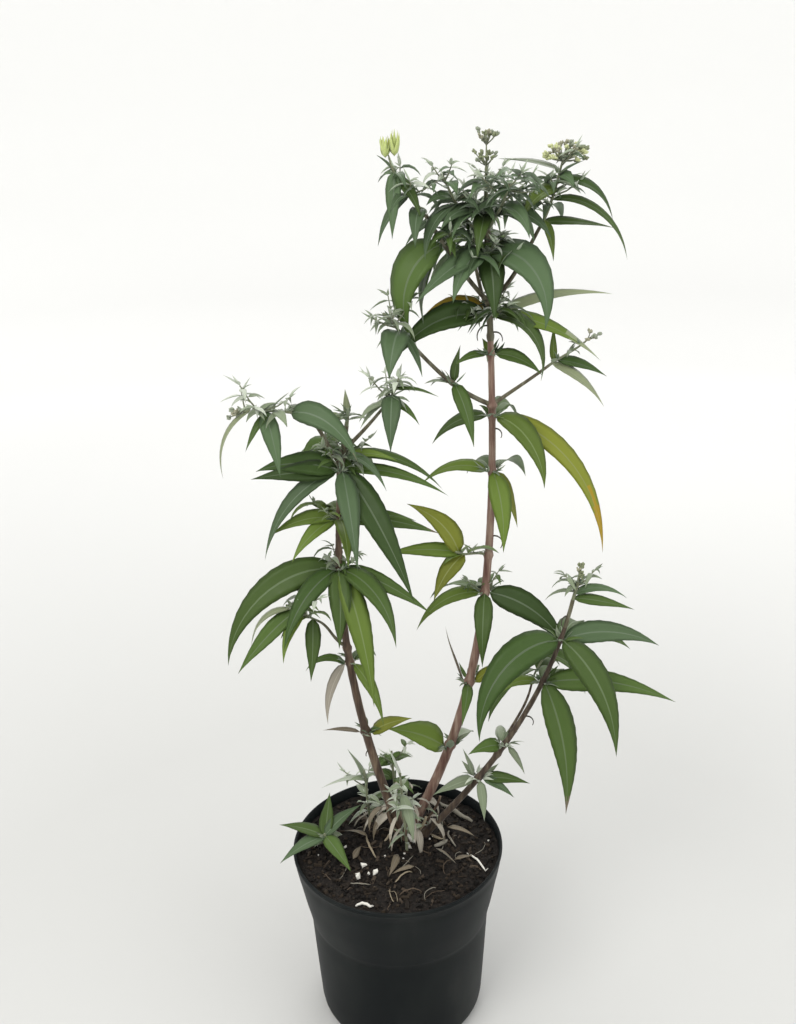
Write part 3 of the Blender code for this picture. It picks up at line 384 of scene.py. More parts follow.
# Masses of leaves. A whorl is (limb, height) on a stem; a shoot has leaf pairs. The tints are those
# of the named leaves in turn, and the last one is for the rest; "a>b" turns to b in the outer part.
# Each leaf: place along the shoot, heading, pitch at its root and at its tip, length, width, and
# how far its upper face turns to the front.
MASSES = {
    "tall_base_whorl": Mass(("tall_stem", 0.252), 10, 1, 0.045, 0.014, 40, None, "light mid grey", (
        Leaf(0, 196, 46, 14, 0.060, 0.028, 30), Leaf(0, 270, 60, 40, 0.028, 0.008, 0))),
    "tall_low_whorl": Mass(("tall_stem", 0.316), 11, 2, 0.045, 0.010, 50, None, "yellow_green dry mid", (
        Leaf(0, 345, 55, 35, 0.036, 0.010, 50), Leaf(0, 165, 65, 80, 0.055, 0.005, 10))),
    "tall_second_whorl": Mass(("tall_stem", 0.402), 12, 2, 0.070, 0.016, 60, None, "light mid deep mid", (
        Leaf(0, 188, 15, -65, 0.068, 0.014, 35), Leaf(0, 262, -25, -88, 0.065, 0.016, 0),
        Leaf(0, 338, -5, -55, 0.085, 0.023, 55))),
    "tall_mid_spray": Mass(None, 13, 1, 0.040, 0.012, 50, None, "yellow_green light yellow_green light", (
        Leaf(0.9, 172, 75, 20, 0.062, 0.019, 50), Leaf(0.8, 180, 20, -15, 0.066, 0.013, 50),
        Leaf(0.7, 212, -20, -70, 0.048, 0.016, 30))),
    "tall_fourth_whorl": Mass(
        ("tall_stem", 0.510), 14, 2, 0.060, 0.014, 60, None, "light light yellow_green mid", (
        Leaf(0, 176, 35, -50, 0.060, 0.013, 40), Leaf(0, 283, -40, -88, 0.068, 0.018, 0),
        Leaf(0, 320, -45, -80, 0.050, 0.012, 20))),
    "tall_fifth_whorl": Mass(
        ("tall_stem", 0.556), 15, 2, 0.060, 0.014, 60, None, "light yellow_green>ochre mid", (
        Leaf(0, 325, 5, -95, 0.078, 0.020, 25), Leaf(0, 345, -10, -85, 0.152, 0.018, 50))),
    "tall_sixth_whorl": Mass(("tall_stem", 0.606), 16, 1, 0.045, 0.011, 50, None, "mid mid light", (
        Leaf(0, 345, 10, -50, 0.042, 0.012, 45), Leaf(0, 200, 20, -40, 0.030, 0.008, 30))),
    "tall_left_whorl": Mass(("tall_left_bough", 0.586), 19, 1, 0.025, 0.007, 50, None, "mid mid grey blue", (
        Leaf(0, 60, 75, 60, 0.030, 0.009, 0), Leaf(0, 300, -40, -75, 0.054, 0.013, 20),
        Leaf(0, 190, 30, -20, 0.020, 0.006, 0))),
    "crown_low_whorl": Mass(
        ("tall_stem", 0.636), 17, 1, 0.075, 0.018, 70, None, "deep mid light>pale ochre pale mid", (
        Leaf(0, 194, 16, -52, 0.084, 0.022, 60), Leaf(0, 335, 15, -105, 0.074, 0.017, 30),
        Leaf(0, 350, 5, -45, 0.092, 0.014, 50), Leaf(0, 171, 40, -42, 0.056, 0.019, 50),
        Leaf(0, 8, 35, -15, 0.100, 0.010, 45))),
    "crown_mid_whorl": Mass(("tall_stem", 0.684), 18, 2, 0.075, 0.018, 70, None, "blue blue deep blue mid", (
        Leaf(0, 208, 5, -45, 0.082, 0.016, 50), Leaf(0, 325, 25, -110, 0.090, 0.027, 40),
        Leaf(0, 275, -30, -88, 0.056, 0.020, 20), Leaf(0, 232, 10, -75, 0.060, 0.018, 30))),
    "crown_left_whorl": Mass(
        ("crown_left_bough", 0.692), 57, 1, 0.050, 0.014, 70, None, "mid blue deep blue", (
        Leaf(0, 198, -15, -115, 0.082, 0.032, 35), Leaf(0, 305, -50, -88, 0.052, 0.013, 10),
        Leaf(0, 240, -40, -100, 0.062, 0.022, 0))),
    "crown_high_whorl": Mass(
        ("tall_stem", 0.7115), 63, 2, 0.049, 0.012, 60, None, "blue blue mid blue blue", (
        Leaf(0, 200, 30, -40, 0.056, 0.014, 30), Leaf(0, 335, 30, -60, 0.056, 0.015, 30),
        Leaf(0, 268, 12, -84, 0.049, 0.014, 14), Leaf(0, 232, 34, -62, 0.051, 0.012, 25))),
    "left_base_whorl": Mass(("left_stem", 0.282), 20, 1, 0.035, 0.009, 50, None, "yellow_green dry mid", (
        Leaf(0, 340, 45, 15, 0.044, 0.015, 30), Leaf(0, 195, 30, 0, 0.034, 0.005, 20))),
    "left_low_whorl": Mass(("left_stem", 0.352), 21, 1, 0.045, 0.011, 60, None, "mid light papery mid", (
        Leaf(0, 180, 40, -55, 0.038, 0.007, 40), Leaf(0, 320, -30, -80, 0.060, 0.012, 20),
        Leaf(0, 208, -50, -88, 0.058, 0.010, 20))),
    "left_second_whorl": Mass(
        ("left_stem", 0.440), 22, 1, 0.075, 0.018, 60, None, "mid mid light mid mid deep mid", (
        Leaf(0, 190, 20, -88, 0.138, 0.025, 55), Leaf(0, 268, -30, -90, 0.066, 0.019, 0),
        Leaf(0, 300, -35, -90, 0.118, 0.020, 10), Leaf(0, 322, -5, -80, 0.082, 0.019, 30),
        Leaf(0, 345, 0, -45, 0.082, 0.014, 50), Leaf(0, 222, -10, -70, 0.080, 0.017, 40))),
    "left_third_whorl": Mass(
        ("left_stem", 0.484), 23, 2, 0.060, 0.014, 60, None, "light light mid mid light", (
        Leaf(0, 190, 25, -40, 0.055, 0.014, 40), Leaf(0, 215, 0, -60, 0.052, 0.013, 40),
        Leaf(0, 350, 25, -20, 0.060, 0.012, 40), Leaf(0, 5, -5, -20, 0.080, 0.014, 50))),
    "left_fourth_whorl": Mass(
        ("left_stem", 0.524), 24, 1, 0.070, 0.016, 60, None, "blue deep deep blue deep mid mid", (
        Leaf(0, 192, -15, -75, 0.096, 0.014, 45), Leaf(0, 178, 25, -20, 0.066, 0.020, 45),
        Leaf(0, 184, 5, -10, 0.068, 0.018, 50), Leaf(0, 285, -20, -90, 0.084, 0.018, 0),
        Leaf(0, 315, -30, -68, 0.118, 0.022, 30), Leaf(0, 350, 15, -35, 0.085, 0.010, 45))),
    "left_fifth_whorl": Mass(("left_stem", 0.536), 25, 1, 0.055, 0.013, 60, None, "mid light blue mid", (
        Leaf(0, 352, 25, -55, 0.085, 0.010, 45), Leaf(0, 330, 30, -20, 0.048, 0.008, 40),
        Leaf(0, 310, 20, -50, 0.055, 0.009, 30))),
    "right_base_whorl": Mass(
        ("right_stem", 0.236), 30, 1, 0.030, 0.010, 40, None, "mid blue grey grey grey grey", (
        Leaf(0, 352, 15, -20, 0.042, 0.011, 35), Leaf(0, 335, 0, -40, 0.032, 0.009, 20),
        Leaf(0, 195, 0, -25, 0.040, 0.011, 35), Leaf(0, 280, -40, -80, 0.036, 0.009, 0),
        Leaf(0, 150, 75, 60, 0.028, 0.007, 0))),
    "right_low_whorl": Mass(("right_stem", 0.272), 31, 0, 0.030, 0.010, 50, None, "mid grey grey mid", (
        Leaf(0, 200, 30, -30, 0.032, 0.013, 50), Leaf(0, 310, -20, -60, 0.028, 0.006, 20),
        Leaf(0, 80, 20, -40, 0.040, 0.010, 20))),
    "right_mid_whorl": Mass(("right_stem", 0.334), 32, 1, 0.075, 0.018, 60, None, "mid mid light mid", (
        Leaf(0, 302, -55, -90, 0.118, 0.025, 20), Leaf(0, 352, 15, -25, 0.110, 0.020, 55),
        Leaf(0, 170, 15, -60, 0.040, 0.010, 30))),
    "right_upper_whorl": Mass(
        ("right_stem", 0.374), 33, 1, 0.080, 0.018, 60, None, "deep blue mid mid grey mid", (
        Leaf(0, 208, 15, -90, 0.120, 0.028, 45), Leaf(0, 5, 25, -35, 0.086, 0.019, 45),
        Leaf(0, 308, -20, -80, 0.106, 0.024, 30), Leaf(0, 30, 5, -45, 0.085, 0.014, 45),
        Leaf(0, 175, 15, -85, 0.052, 0.007, 40))),
    "tall_left_spray": Mass(None, 41, 3, 0.032, 0.006, 60, None, "blue blue grey", (
        Leaf(0.3, 255, 10, -85, 0.050, 0.022, 10), Leaf(0.1, 315, -30, -80, 0.036, 0.007, 20))),
    "tall_right_spray": Mass(None, 42, 1, 0.020, 0.005, 50, "buds", "light deep pale grey", (
        Leaf(0.05, 85, 70, 80, 0.030, 0.006, 0), Leaf(0.15, 355, -5, -30, 0.042, 0.011, 40),
        Leaf(0.0, 340, -10, -60, 0.055, 0.010, 40))),
    "left_left_spray": Mass(None, 43, 4, 0.028, 0.008, 60, "buds", "blue pale blue mid grey", (
        Leaf(0.6, 305, -50, -85, 0.052, 0.014, 30), Leaf(0.9, 200, -20, -100, 0.060, 0.005, 30),
        Leaf(0.05, 0, 20, -70, 0.072, 0.019, 55), Leaf(0.5, 215, -40, -60, 0.036, 0.007, 20))),
    "left_right_spray": Mass(None, 44, 4, 0.030, 0.006, 50, None, "blue mid mid grey grey", (
        Leaf(0.5, 265, -10, -90, 0.050, 0.015, 0), Leaf(0.3, 330, 0, -60, 0.032, 0.007, 30),
        Leaf(0.7, 350, 10, -25, 0.034, 0.006, 30), Leaf(0.4, 195, -20, -60, 0.034, 0.007, 30))),
    "left_low_spray": Mass(None, 45, 2, 0.034, 0.009, 60, None, "mid mid pale light light", (
        Leaf(0.75, 200, -20, -60, 0.070, 0.015, 40), Leaf(0.1, 262, -50, -80, 0.052, 0.013, 20),
        Leaf(0.95, 190, 10, -85, 0.050, 0.007, 30), Leaf(0.5, 240, -10, -75, 0.045, 0.010, 20))),
    "left_back_spray": Mass(None, 46, 3, 0.070, 0.016, 70, None, "mid", ()),
    "left_tip_spray": Mass(None, 47, 1, 0.030, 0.008, 60, None, "pale light grey", (
        Leaf(0.6, 100, 70, 60, 0.022, 0.006, 0), Leaf(0.3, 200, 40, -20, 0.034, 0.008, 20))),
    "crown_left_spray": Mass(None, 51, 2, 0.036, 0.009, 70, "tuft", "blue blue mid blue blue", (
        Leaf(0.35, 195, -30, -75, 0.044, 0.011, 30), Leaf(0.85, 250, -70, -88, 0.048, 0.012, 0),
        Leaf(0.75, 330, -40, -70, 0.036, 0.011, 30), Leaf(0.05, 260, 0, -80, 0.040, 0.012, 10))),
    "crown_right_spray": Mass(
        None, 52, 2, 0.038, 0.009, 70, "cluster", "grey light deep mid mid light blue", (
        Leaf(0.9, 178, 25, 0, 0.048, 0.009, 30), Leaf(0.6, 210, 0, -50, 0.048, 0.015, 30),
        Leaf(0.7, 345, 20, -75, 0.056, 0.012, 40), Leaf(0.4, 352, 15, -80, 0.082, 0.009, 40),
        Leaf(0.0, 0, 5, -15, 0.056, 0.010, 40), Leaf(0.05, 300, -40, -88, 0.034, 0.008, 10))),
    "crown_back_spray": Mass(None, 53, 4, 0.065, 0.016, 75, None, "mid", ()),
    "crown_centre_spray": Mass(None, 54, 4, 0.042, 0.011, 60, None, "blue blue blue", (
        Leaf(0.55, 265, 0, -85, 0.055, 0.014, 0), Leaf(0.3, 190, 20, -60, 0.055, 0.012, 40))),
    "crown_front_spray": Mass(None, 55, 3, 0.048, 0.013, 75, None, "blue", ()),
    "crown_tip_spray": Mass(None, 56, 2, 0.028, 0.007, 50, "panicle", "grey", ()),
    "right_tip_spray": Mass(None, 61, 1, 0.025, 0.007, 50, "spike", "blue grey mid grey", (
        Leaf(0.2, 355, 40, -40, 0.046, 0.008, 45), Leaf(0.3, 182, 30, -50, 0.028, 0.004, 30),
        Leaf(0.0, 345, 10, -20, 0.050, 0.010, 40))),
    "right_back_spray": Mass(None, 62, 3, 0.075, 0.018, 70, None, "mid", ()),
    "star_shoot": Mass(None, 71, 1, 0.022, 0.008, 30, None, "mid blue mid blue mid grey", (
        Leaf(0.9, 168, 25, -5, 0.044, 0.013, 20), Leaf(0.9, 215, 5, -20, 0.048, 0.014, 10),
        Leaf(0.9, 293, 0, -35, 0.055, 0.014, 10), Leaf(0.9, 35, 35, 10, 0.044, 0.013, 20),
        Leaf(0.9, 85, 40, 20, 0.042, 0.013, 10))),
    "back_left_shoot": Mass(None, 72, 3, 0.030, 0.008, 30, None, "grey silver grey", (
        Leaf(0.8, 150, 70, 50, 0.036, 0.009, 0), Leaf(0.9, 195, 15, -20, 0.042, 0.005, 20))),
    "front_shoot": Mass(None, 73, 3, 0.028, 0.008, 30, None, "grey silver grey", (
        Leaf(0.75, 290, -10, -88, 0.046, 0.011, 0), Leaf(0.97, 170, 75, 70, 0.032, 0.011, 0))),
    "back_shoot": Mass(None, 76, 3, 0.045, 0.012, 50, None, "mid", ()),
}


def lean(heading, pitch):
    """The direction of a heading and a pitch."""
    flat = math.cos(math.radians(pitch))
    turn = math.radians(heading)
    return Vector((flat * math.cos(turn), flat * math.sin(turn), math.sin(math.radians(pitch))))


def soil_height(x, y):
    """The soil is level round the stems, and off them it climbs to the front rim and sinks behind."""
    radius = math.hypot(x, y)
    if radius <= SOIL_FLAT_RADIUS:
        return SOIL_LEVEL
    share = (radius - SOIL_FLAT_RADIUS) / (POT_RIM_RADIUS - SOIL_FLAT_RADIUS)
    return SOIL_LEVEL - SOIL_TILT * share * y / radius


def placed_object(name, data):
    made = bpy.data.objects.new(name, data)
    bpy.context.scene.collection.objects.link(made)
    return made


class Build:
    """The vertices and faces of one piece, with the name of a material for each face."""

    def __init__(self):
        self.points = []
        self.faces = []
        self.finishes = []

    def add(self, points, faces, finishes):
        first = len(self.points)
        self.points += points
        self.faces += [[first + corner for corner in face] for face in faces]
        self.finishes += [finishes] * len(faces) if isinstance(finishes, str) else finishes

    def piece(self, name, slot, nodes, smooth=True):
        """The finished object on the plant's one body, for its CAD nodes, kept inside the CAD model's box."""
        mesh = bpy.data.meshes.new(name)
        points = [[min(max(part, low), high) for part, low, high in zip(point, *CAD_BOX)]
                  for point in self.points]
        mesh.from_pydata(points, [], self.faces)
        used = sorted(set(self.finishes))
        for finish in used:
            mesh.materials.append(FINISHES[finish])
        places = [used.index(finish) for finish in self.finishes]
        mesh.polygons.foreach_set("material_index", places)
        mesh.polygons.foreach_set("use_smooth", [smooth] * len(places))
        made = placed_object(name, mesh)
        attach(made, "root")
        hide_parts(*nodes)


# Materials

FINISHES = {}

# Plain finishes of small pieces: base colour, roughness, specular level and sheen
PLAIN_FINISHES = {
    "husk": ((0.300, 0.295, 0.205), 0.80, 0.25, 0.20),
    "olive": ((0.200, 0.225, 0.125), 0.75, 0.25, 0.15),
    "bud_grey": ((0.250, 0.280, 0.205), 0.85, 0.25, 0.30),
    "bud_lime": ((0.540, 0.570, 0.300), 0.70, 0.25, 0.20),
    "twig": ((0.150, 0.165, 0.095), 0.75, 0.30, 0.25),
    "twig_dark": ((0.050, 0.044, 0.030), 0.80, 0.30, 0.10),
    "crumb_black": ((0.006, 0.005, 0.0042), 0.95, 0.20, 0.0),
    "crumb_brown": ((0.017, 0.0125, 0.009), 0.90, 0.25, 0.0),
    "crumb_red": ((0.028, 0.020, 0.013), 0.90, 0.25, 0.0),
    "bark_bit": ((0.052, 0.038, 0.026), 0.85, 0.30, 0.0),
    "straw": ((0.270, 0.225, 0.155), 0.75, 0.30, 0.0),
    "straw_grey": ((0.200, 0.185, 0.150), 0.80, 0.30, 0.0),
    "straw_dark": ((0.085, 0.062, 0.042), 0.80, 0.30, 0.0),
    "perlite": ((0.700, 0.680, 0.620), 0.85, 0.30, 0.0),
}

# Patterned finishes: shine as roughness, specular level and sheen, grain as scale, detail and stretch
# along each axis, colours by place in the pattern, and bump as strength and depth
BARKS = {
    "bark_tall": ((0.090, 0.040, 0.030), (0.175, 0.105, 0.078), (0.310, 0.240, 0.185)),
    "bark_left": ((0.030, 0.016, 0.010), (0.085, 0.052, 0.032), (0.200, 0.150, 0.100)),
    "bark_right": ((0.022, 0.013, 0.009), (0.060, 0.040, 0.026), (0.150, 0.125, 0.085)),
    "bark_bough": ((0.045, 0.034, 0.022), (0.095, 0.085, 0.050), (0.200, 0.195, 0.140)),
}
BARK_SHINE = (0.72, 0.35, 0.1)
BARK_GRAIN = (260, 5, (1, 1, 0.12))
BARK_PLACES = (0.30, 0.52, 0.74)
BARK_BUMP = (0.5, 0.0004)
SOIL_COLOUR = (0.016, 0.012, 0.009)
SOIL_SHINE = (0.95, 0.25)
SOIL_GRAIN = (420, 6)
SOIL_COLOURS = ((0.32, (0.004, 0.0033, 0.0028)), (0.55, (0.013, 0.010, 0.008)), (0.78, (0.034, 0.027, 0.021)))
SOIL_BUMP = (0.9, 0.0012)
PLASTIC_COLOUR = (0.006, 0.008, 0.0085)
PLASTIC_SHINE = (0.48, 0.10)
PLASTIC_BLOOM = (22, 4, (1, 1, 0.45))
PLASTIC_COLOURS = ((0.38, (0.0045, 0.0062, 0.0068)), (0.58, (0.0075, 0.0095, 0.0095)),
                   (0.80, (0.018, 0.020, 0.019)))
PLASTIC_GRAIN = (900, 3)
PLASTIC_BUMP = (0.12, 0.0002)


def shader_material(name, colour, roughness, specular=0.5, sheen=0.0):
    made = bpy.data.materials.new(name)
    made.use_nodes = True
    shader = made.node_tree.nodes["Principled BSDF"]
    shader.inputs["Base Color"].default_value = (*colour, 1)
    shader.inputs["Roughness"].default_value = roughness
    shader.inputs["Specular IOR Level"].default_value = specular
    shader.inputs["Sheen Weight"].default_value = sheen
    FINISHES[name] = made
    return made, shader


def linked_noise(made, scale, detail, stretch=(1, 1, 1)):
    """A noise texture in the object's own metres, stretched along each axis."""
    nodes = made.node_tree.nodes
    place = nodes.new("ShaderNodeTexCoord")
    mapping = nodes.new("ShaderNodeMapping")
    mapping.inputs["Scale"].default_value = stretch
    pattern = nodes.new("ShaderNodeTexNoise")
    pattern.inputs["Scale"].default_value = scale
    pattern.inputs["Detail"].default_value = detail
    made.node_tree.links.new(place.outputs["Object"], mapping.inputs["Vector"])
    made.node_tree.links.new(mapping.outputs["Vector"], pattern.inputs["Vector"])
    return pattern


def add_bump(made, shader, pattern, strength, distance):
    bump = made.node_tree.nodes.new("ShaderNodeBump")
    bump.inputs["Strength"].default_value = strength
    bump.inputs["Distance"].default_value = distance
    made.node_tree.links.new(pattern.outputs["Fac"], bump.inputs["Height"])
    made.node_tree.links.new(bump.outputs["Normal"], shader.inputs["Normal"])


def add_ramp(made, shader, pattern, stops):
    """The base colour from a pattern by (place, colour) stops."""
    ramp = made.node_tree.nodes.new("ShaderNodeValToRGB")
    while len(ramp.color_ramp.elements) < len(stops):
        ramp.color_ramp.elements.new(0.5)
    for element, (place, colour) in zip(ramp.color_ramp.elements, stops):
        element.position = place
        element.color = (*colour, 1)
    made.node_tree.links.new(pattern.outputs[0], ramp.inputs["Fac"])
    made.node_tree.links.new(ramp.outputs["Color"], shader.inputs["Base Color"])


def quilted_leaf(name, colour, roughness, specular, felt):
    """A leaf face, quilted between its finest veins and duller in patches."""
    made, shader = shader_material(name, colour, roughness, specular, felt)
    add_bump(made, shader, linked_noise(made, VEIN_MESH, 2), *VEIN_BUMP)
    patches = linked_noise(made, PATCH_SCALE, 2)
    spread = made.node_tree.nodes.new("ShaderNodeMapRange")
    spread.inputs["To Min"].default_value = roughness + PATCH_ROUGHNESS[0]
    spread.inputs["To Max"].default_value = roughness + PATCH_ROUGHNESS[1]
    made.node_tree.links.new(patches.outputs["Fac"], spread.inputs["Value"])
    made.node_tree.links.new(spread.outputs["Result"], shader.inputs["Roughness"])


def leaf_materials():
    """Each tint has shades of its upper face, a lighter midrib and a paler, greyer under face."""
    for tint, colour in TINTS.items():
        felt = FELT if tint in FELTED else BARE_FELT
        for number, shade in enumerate(SHADES):
            quilted_leaf(f"{tint}_{number}", [part * shade for part in colour], *UPPER_SHINE, felt)
        shader_material(f"{tint}_rib", [part + RIB_LIGHTER for part in colour], *RIB_SHINE)
        under = [(part + UNDER_PALER) * grey for part, grey in zip(colour, UNDER_GREY)]
        quilted_leaf(f"{tint}_under", under, *UNDER_SHINE, UNDER_FELT)


def bark_material(name, colours):
    made, shader = shader_material(name, colours[1], *BARK_SHINE)
    pattern = linked_noise(made, *BARK_GRAIN)
    add_ramp(made, shader, pattern, list(zip(BARK_PLACES, colours)))
    add_bump(made, shader, pattern, *BARK_BUMP)


def soil_material():
    made, shader = shader_material("soil_ground", SOIL_COLOUR, *SOIL_SHINE)
    pattern = linked_noise(made, *SOIL_GRAIN)
    add_ramp(made, shader, pattern, SOIL_COLOURS)
    add_bump(made, shader, pattern, *SOIL_BUMP)


def pot_material():
    """Black moulded plastic with a faint dusty bloom and fine moulding grain."""
    made, shader = shader_material("black_plastic", PLASTIC_COLOUR, *PLASTIC_SHINE)
    add_ramp(made, shader, linked_noise(made, *PLASTIC_BLOOM), PLASTIC_COLOURS)
    add_bump(made, shader, linked_noise(made, *PLASTIC_GRAIN), *PLASTIC_BUMP)


def make_materials():
    leaf_materials()
    for name, finish in PLAIN_FINISHES.items():
        shader_material(name, *finish)
    for name, colours in BARKS.items():
        bark_material(name, colours)
    soil_material()
    pot_material()


# Limbs

class Route:
    """A limb's axis: a cubic curve from foot to tip that leaves and arrives along its two leans."""

    def __init__(self, foot, tip, start_lean, end_lean, foot_radius, tip_radius, steps):
        foot = Vector(foot)
        tip = Vector(tip)
        reach = HANDLE * (tip - foot).length
        first = foot + lean(*start_lean) * reach
        last = tip - lean(*end_lean) * reach
        self.facts = (foot, tip, start_lean, end_lean, foot_radius, tip_radius)
        self.points = []
        for step in range(steps + 1):
            share = step / steps
            rest = 1 - share
            self.points.append(rest ** 3 * foot + 3 * rest ** 2 * share * first
                               + 3 * rest * share ** 2 * last + share ** 3 * tip)
        self.radii = [foot_radius + (tip_radius - foot_radius) * step / steps for step in range(steps + 1)]

    def finer(self):
        """The same curve in steps as short as the bark's rings."""
        foot, tip = self.facts[:2]
        return Route(*self.facts, max(FEWEST_RINGS, int((tip - foot).length / RING_SPACING)))

    def at(self, share):
        place = min(max(share, 0), 1) * (len(self.points) - 1)
        low = min(int(place), len(self.points) - 2)
        part = place - low
        point = self.points[low].lerp(self.points[low + 1], part)
        radius = self.radii[low] * (1 - part) + self.radii[low + 1] * part
        return point, (self.points[low + 1] - self.points[low]).normalized(), radius

    def share_at_height(self, height):
        steps = len(self.points) - 1
        for step, (low, high) in enumerate(zip(self.points, self.points[1:])):
            if low.z <= height <= high.z:
                return (step + (height - low.z) / (high.z - low.z)) / steps
        return 1.0

    def distance(self, point):
        """How far a point lies outside the limb's skin."""
        nearest = 1.0
        for step, (low, high) in enumerate(zip(self.points, self.points[1:])):
            along = high - low
            share = min(max((point - low).dot(along) / along.length_squared, 0), 1)
            radius = self.radii[step] * (1 - share) + self.radii[step + 1] * share
            nearest = min(nearest, (point - low - along * share).length - radius)
        return nearest


def rings_along(points, radii, sides, first_level=False):
    """Vertices of rings square to a route; a level first ring lies flat, as a cut at the ground."""
    vertices = []
    side = Vector((0, 1, 0))
    for step, point in enumerate(points):
        along = (points[min(step + 1, len(points) - 1)] - points[max(step - 1, 0)]).normalized()
        if step == 0 and first_level:
            along = Vector((0, 0, 1))
        side = (side - along * side.dot(along)).normalized()
        other = along.cross(side)
        for corner in range(sides):
            angle = 2 * math.pi * corner / sides
            vertices.append(point + (side * math.cos(angle) + other * math.sin(angle)) * radii[step])
    return vertices


def tube_faces(rings, sides):
    faces = [list(range(sides))[::-1], [(rings - 1) * sides + corner for corner in range(sides)]]
    for ring in range(rings - 1):
        for corner in range(sides):
            after = (corner + 1) % sides
            faces.append([ring * sides + corner, ring * sides + after,
                          (ring + 1) * sides + after, (ring + 1) * sides + corner])
    return faces


def flare(route, foot):
    """Widens the radii to a root flare just above the soil."""
    for step, point in enumerate(route.points):
        spread = max(0.0, 1 - (point.z - foot.z) / FLARE_HEIGHT)
        route.radii[step] *= 1 + FLARE_WIDTH * spread ** 2


def stem_route(stem):
    """A stem's route from the soil, its radius widened to a root flare over the lowest stretch."""
    foot = Vector((*stem.foot, soil_height(*stem.foot) + GAP))
    route = Route(foot, stem.tip, stem.start_lean, stem.end_lean, stem.foot_radius, stem.tip_radius,
                  STEM_STEPS)
    flared = [foot + (route.points[1] - foot) * share for share in FLARE_PLACES]
    route.points = flared + route.points[1:]
    route.radii = [route.radii[0]] * len(FLARE_PLACES) + route.radii[1:]
    flare(route, foot)
    return route


def side_route(limb, routes, steps):
    """The route of a limb that grows from another limb or the soil, with its foot just clear."""
    ends = (limb.tip, limb.start_lean, limb.end_lean, limb.foot_radius, limb.tip_radius, steps)
    if limb.host == "soil":
        return Route(Vector((*limb.foot, soil_height(*limb.foot) + GAP)), *ends)
    host = routes[limb.host]
    if limb.at == 1:
        point, along, _ = host.at(1)
        return Route(point + along * GAP, *ends)
    point, _, _ = host.at(host.share_at_height(limb.at))
    outward = lean(*limb.start_lean)
    reach = 0.0
    while True:
        reach += GAP
        route = Route(point + outward * reach, *ends)
        ring = rings_along(route.points[:2], route.radii[:2], STEM_SIDES)[:STEM_SIDES]
        if min(host.distance(corner) for corner in ring) >= GAP:
            return route


def bark_tube(build, route, nodes, finish, seed, green_from=1.0):
    """A limb with blunt corners, ripples and a swelling at each height where leaves stand or stood.

    Its bark is young and green above a height."""
    points = route.points
    vertices = rings_along(points, route.radii, BARK_SIDES)
    for ring, point in enumerate(points):
        swelling = sum(math.exp(-((point.z - height) / NODE_LENGTH) ** 2) for height in nodes)
        for corner in range(BARK_SIDES):
            number = ring * BARK_SIDES + corner
            angle = 2 * math.pi * corner / BARK_SIDES
            ripple = noise.noise(Vector((math.cos(angle) * RIPPLES_ROUND + seed,
                                         math.sin(angle) * RIPPLES_ROUND, point.z * RIPPLES_ALONG)))
            size = (1 + CORNER_RELIEF * math.cos(CORNERS * angle) + RIPPLE_RELIEF * ripple
                    + NODE_SWELLING * swelling)
            vertices[number] = point + (vertices[number] - point) * size
    faces = tube_faces(len(points), BARK_SIDES)
    finishes = ["bark_bough" if vertices[face[0]].z > green_from else finish for face in faces]
    build.add(vertices, faces, finishes)


def sunk(route, depth):
    """The route with its foot carried back into what it grows from."""
    back = (route.points[1] - route.points[0]).normalized()
    route.points.insert(0, route.points[0] - back * depth)
    route.radii.insert(0, route.radii[0])
    return route


def plain_tube(build, points, radii, sides, finish):
    build.add(rings_along(points, radii, sides), tube_faces(len(points), sides), finish)


def node_heights(name):
    """The heights on a limb where a whorl or another limb joins it."""
    heights = [mass.limb[1] for mass in MASSES.values() if mass.limb and mass.limb[0] == name]
    return heights + [limb.at for limb in list(BOUGHS.values()) + list(SHOOTS.values())
                      if limb.host == name and limb.at != 1]


def draw_stems(routes):
    build = Build()
    for seed, name in enumerate(STEMS):
        route = routes[name].finer()
        flare(route, route.points[0])
        finish = "bark_" + name.split("_")[0]
        bark_tube(build, sunk(route, SINK), node_heights(name), finish, seed, GREEN_BARK_FROM[name])
    build.piece("stems", "stem_bark", list(STEMS))


def draw_boughs(routes):
    build = Build()
    for seed, name in enumerate(BOUGHS):
        route = routes[name].finer()
        finish = "bark_right" if name.startswith("right") else "bark_bough"
        bark_tube(build, sunk(route, SINK), node_heights(name), finish, BOUGH_SEED + seed)
    build.piece("boughs", "stem_bark", list(BOUGHS))


# Leaves: where each one stands

def leaf_stations(leaf):
    if leaf.length >= LONG_LEAF:
        return LONG_STATIONS
    return MIDDLE_STATIONS if leaf.length >= SHORT_LEAF else SHORT_STATIONS


def midrib_of(root, leaf):
    """The points down a leaf's bending midrib and the direction of each of its steps."""
    points = [Vector(root)]
    leans = []
    for step in range(LEAF_CURVE_STEPS):
        share = (step + 0.5) / LEAF_CURVE_STEPS
        leans.append(lean(leaf.heading, leaf.rise + (leaf.fall - leaf.rise) * share ** BEND_EARLY))
        points.append(points[-1] + leans[-1] * leaf.length / LEAF_CURVE_STEPS)
    return points, leans


def blade_axes(leaf, along, twist=0.0):
    """Across the blade and out of its upper face, turned to the front by the leaf's own turn."""
    side = Vector((math.sin(math.radians(leaf.heading)), -math.cos(math.radians(leaf.heading)), 0))
    front = -1 if side.y > 0 else 1
    turn = math.radians(leaf.turn + twist)
    upward = side.cross(along)
    across = side * math.cos(turn) - upward * math.sin(turn) * front
    return across, upward * math.cos(turn) + side * math.sin(turn) * front


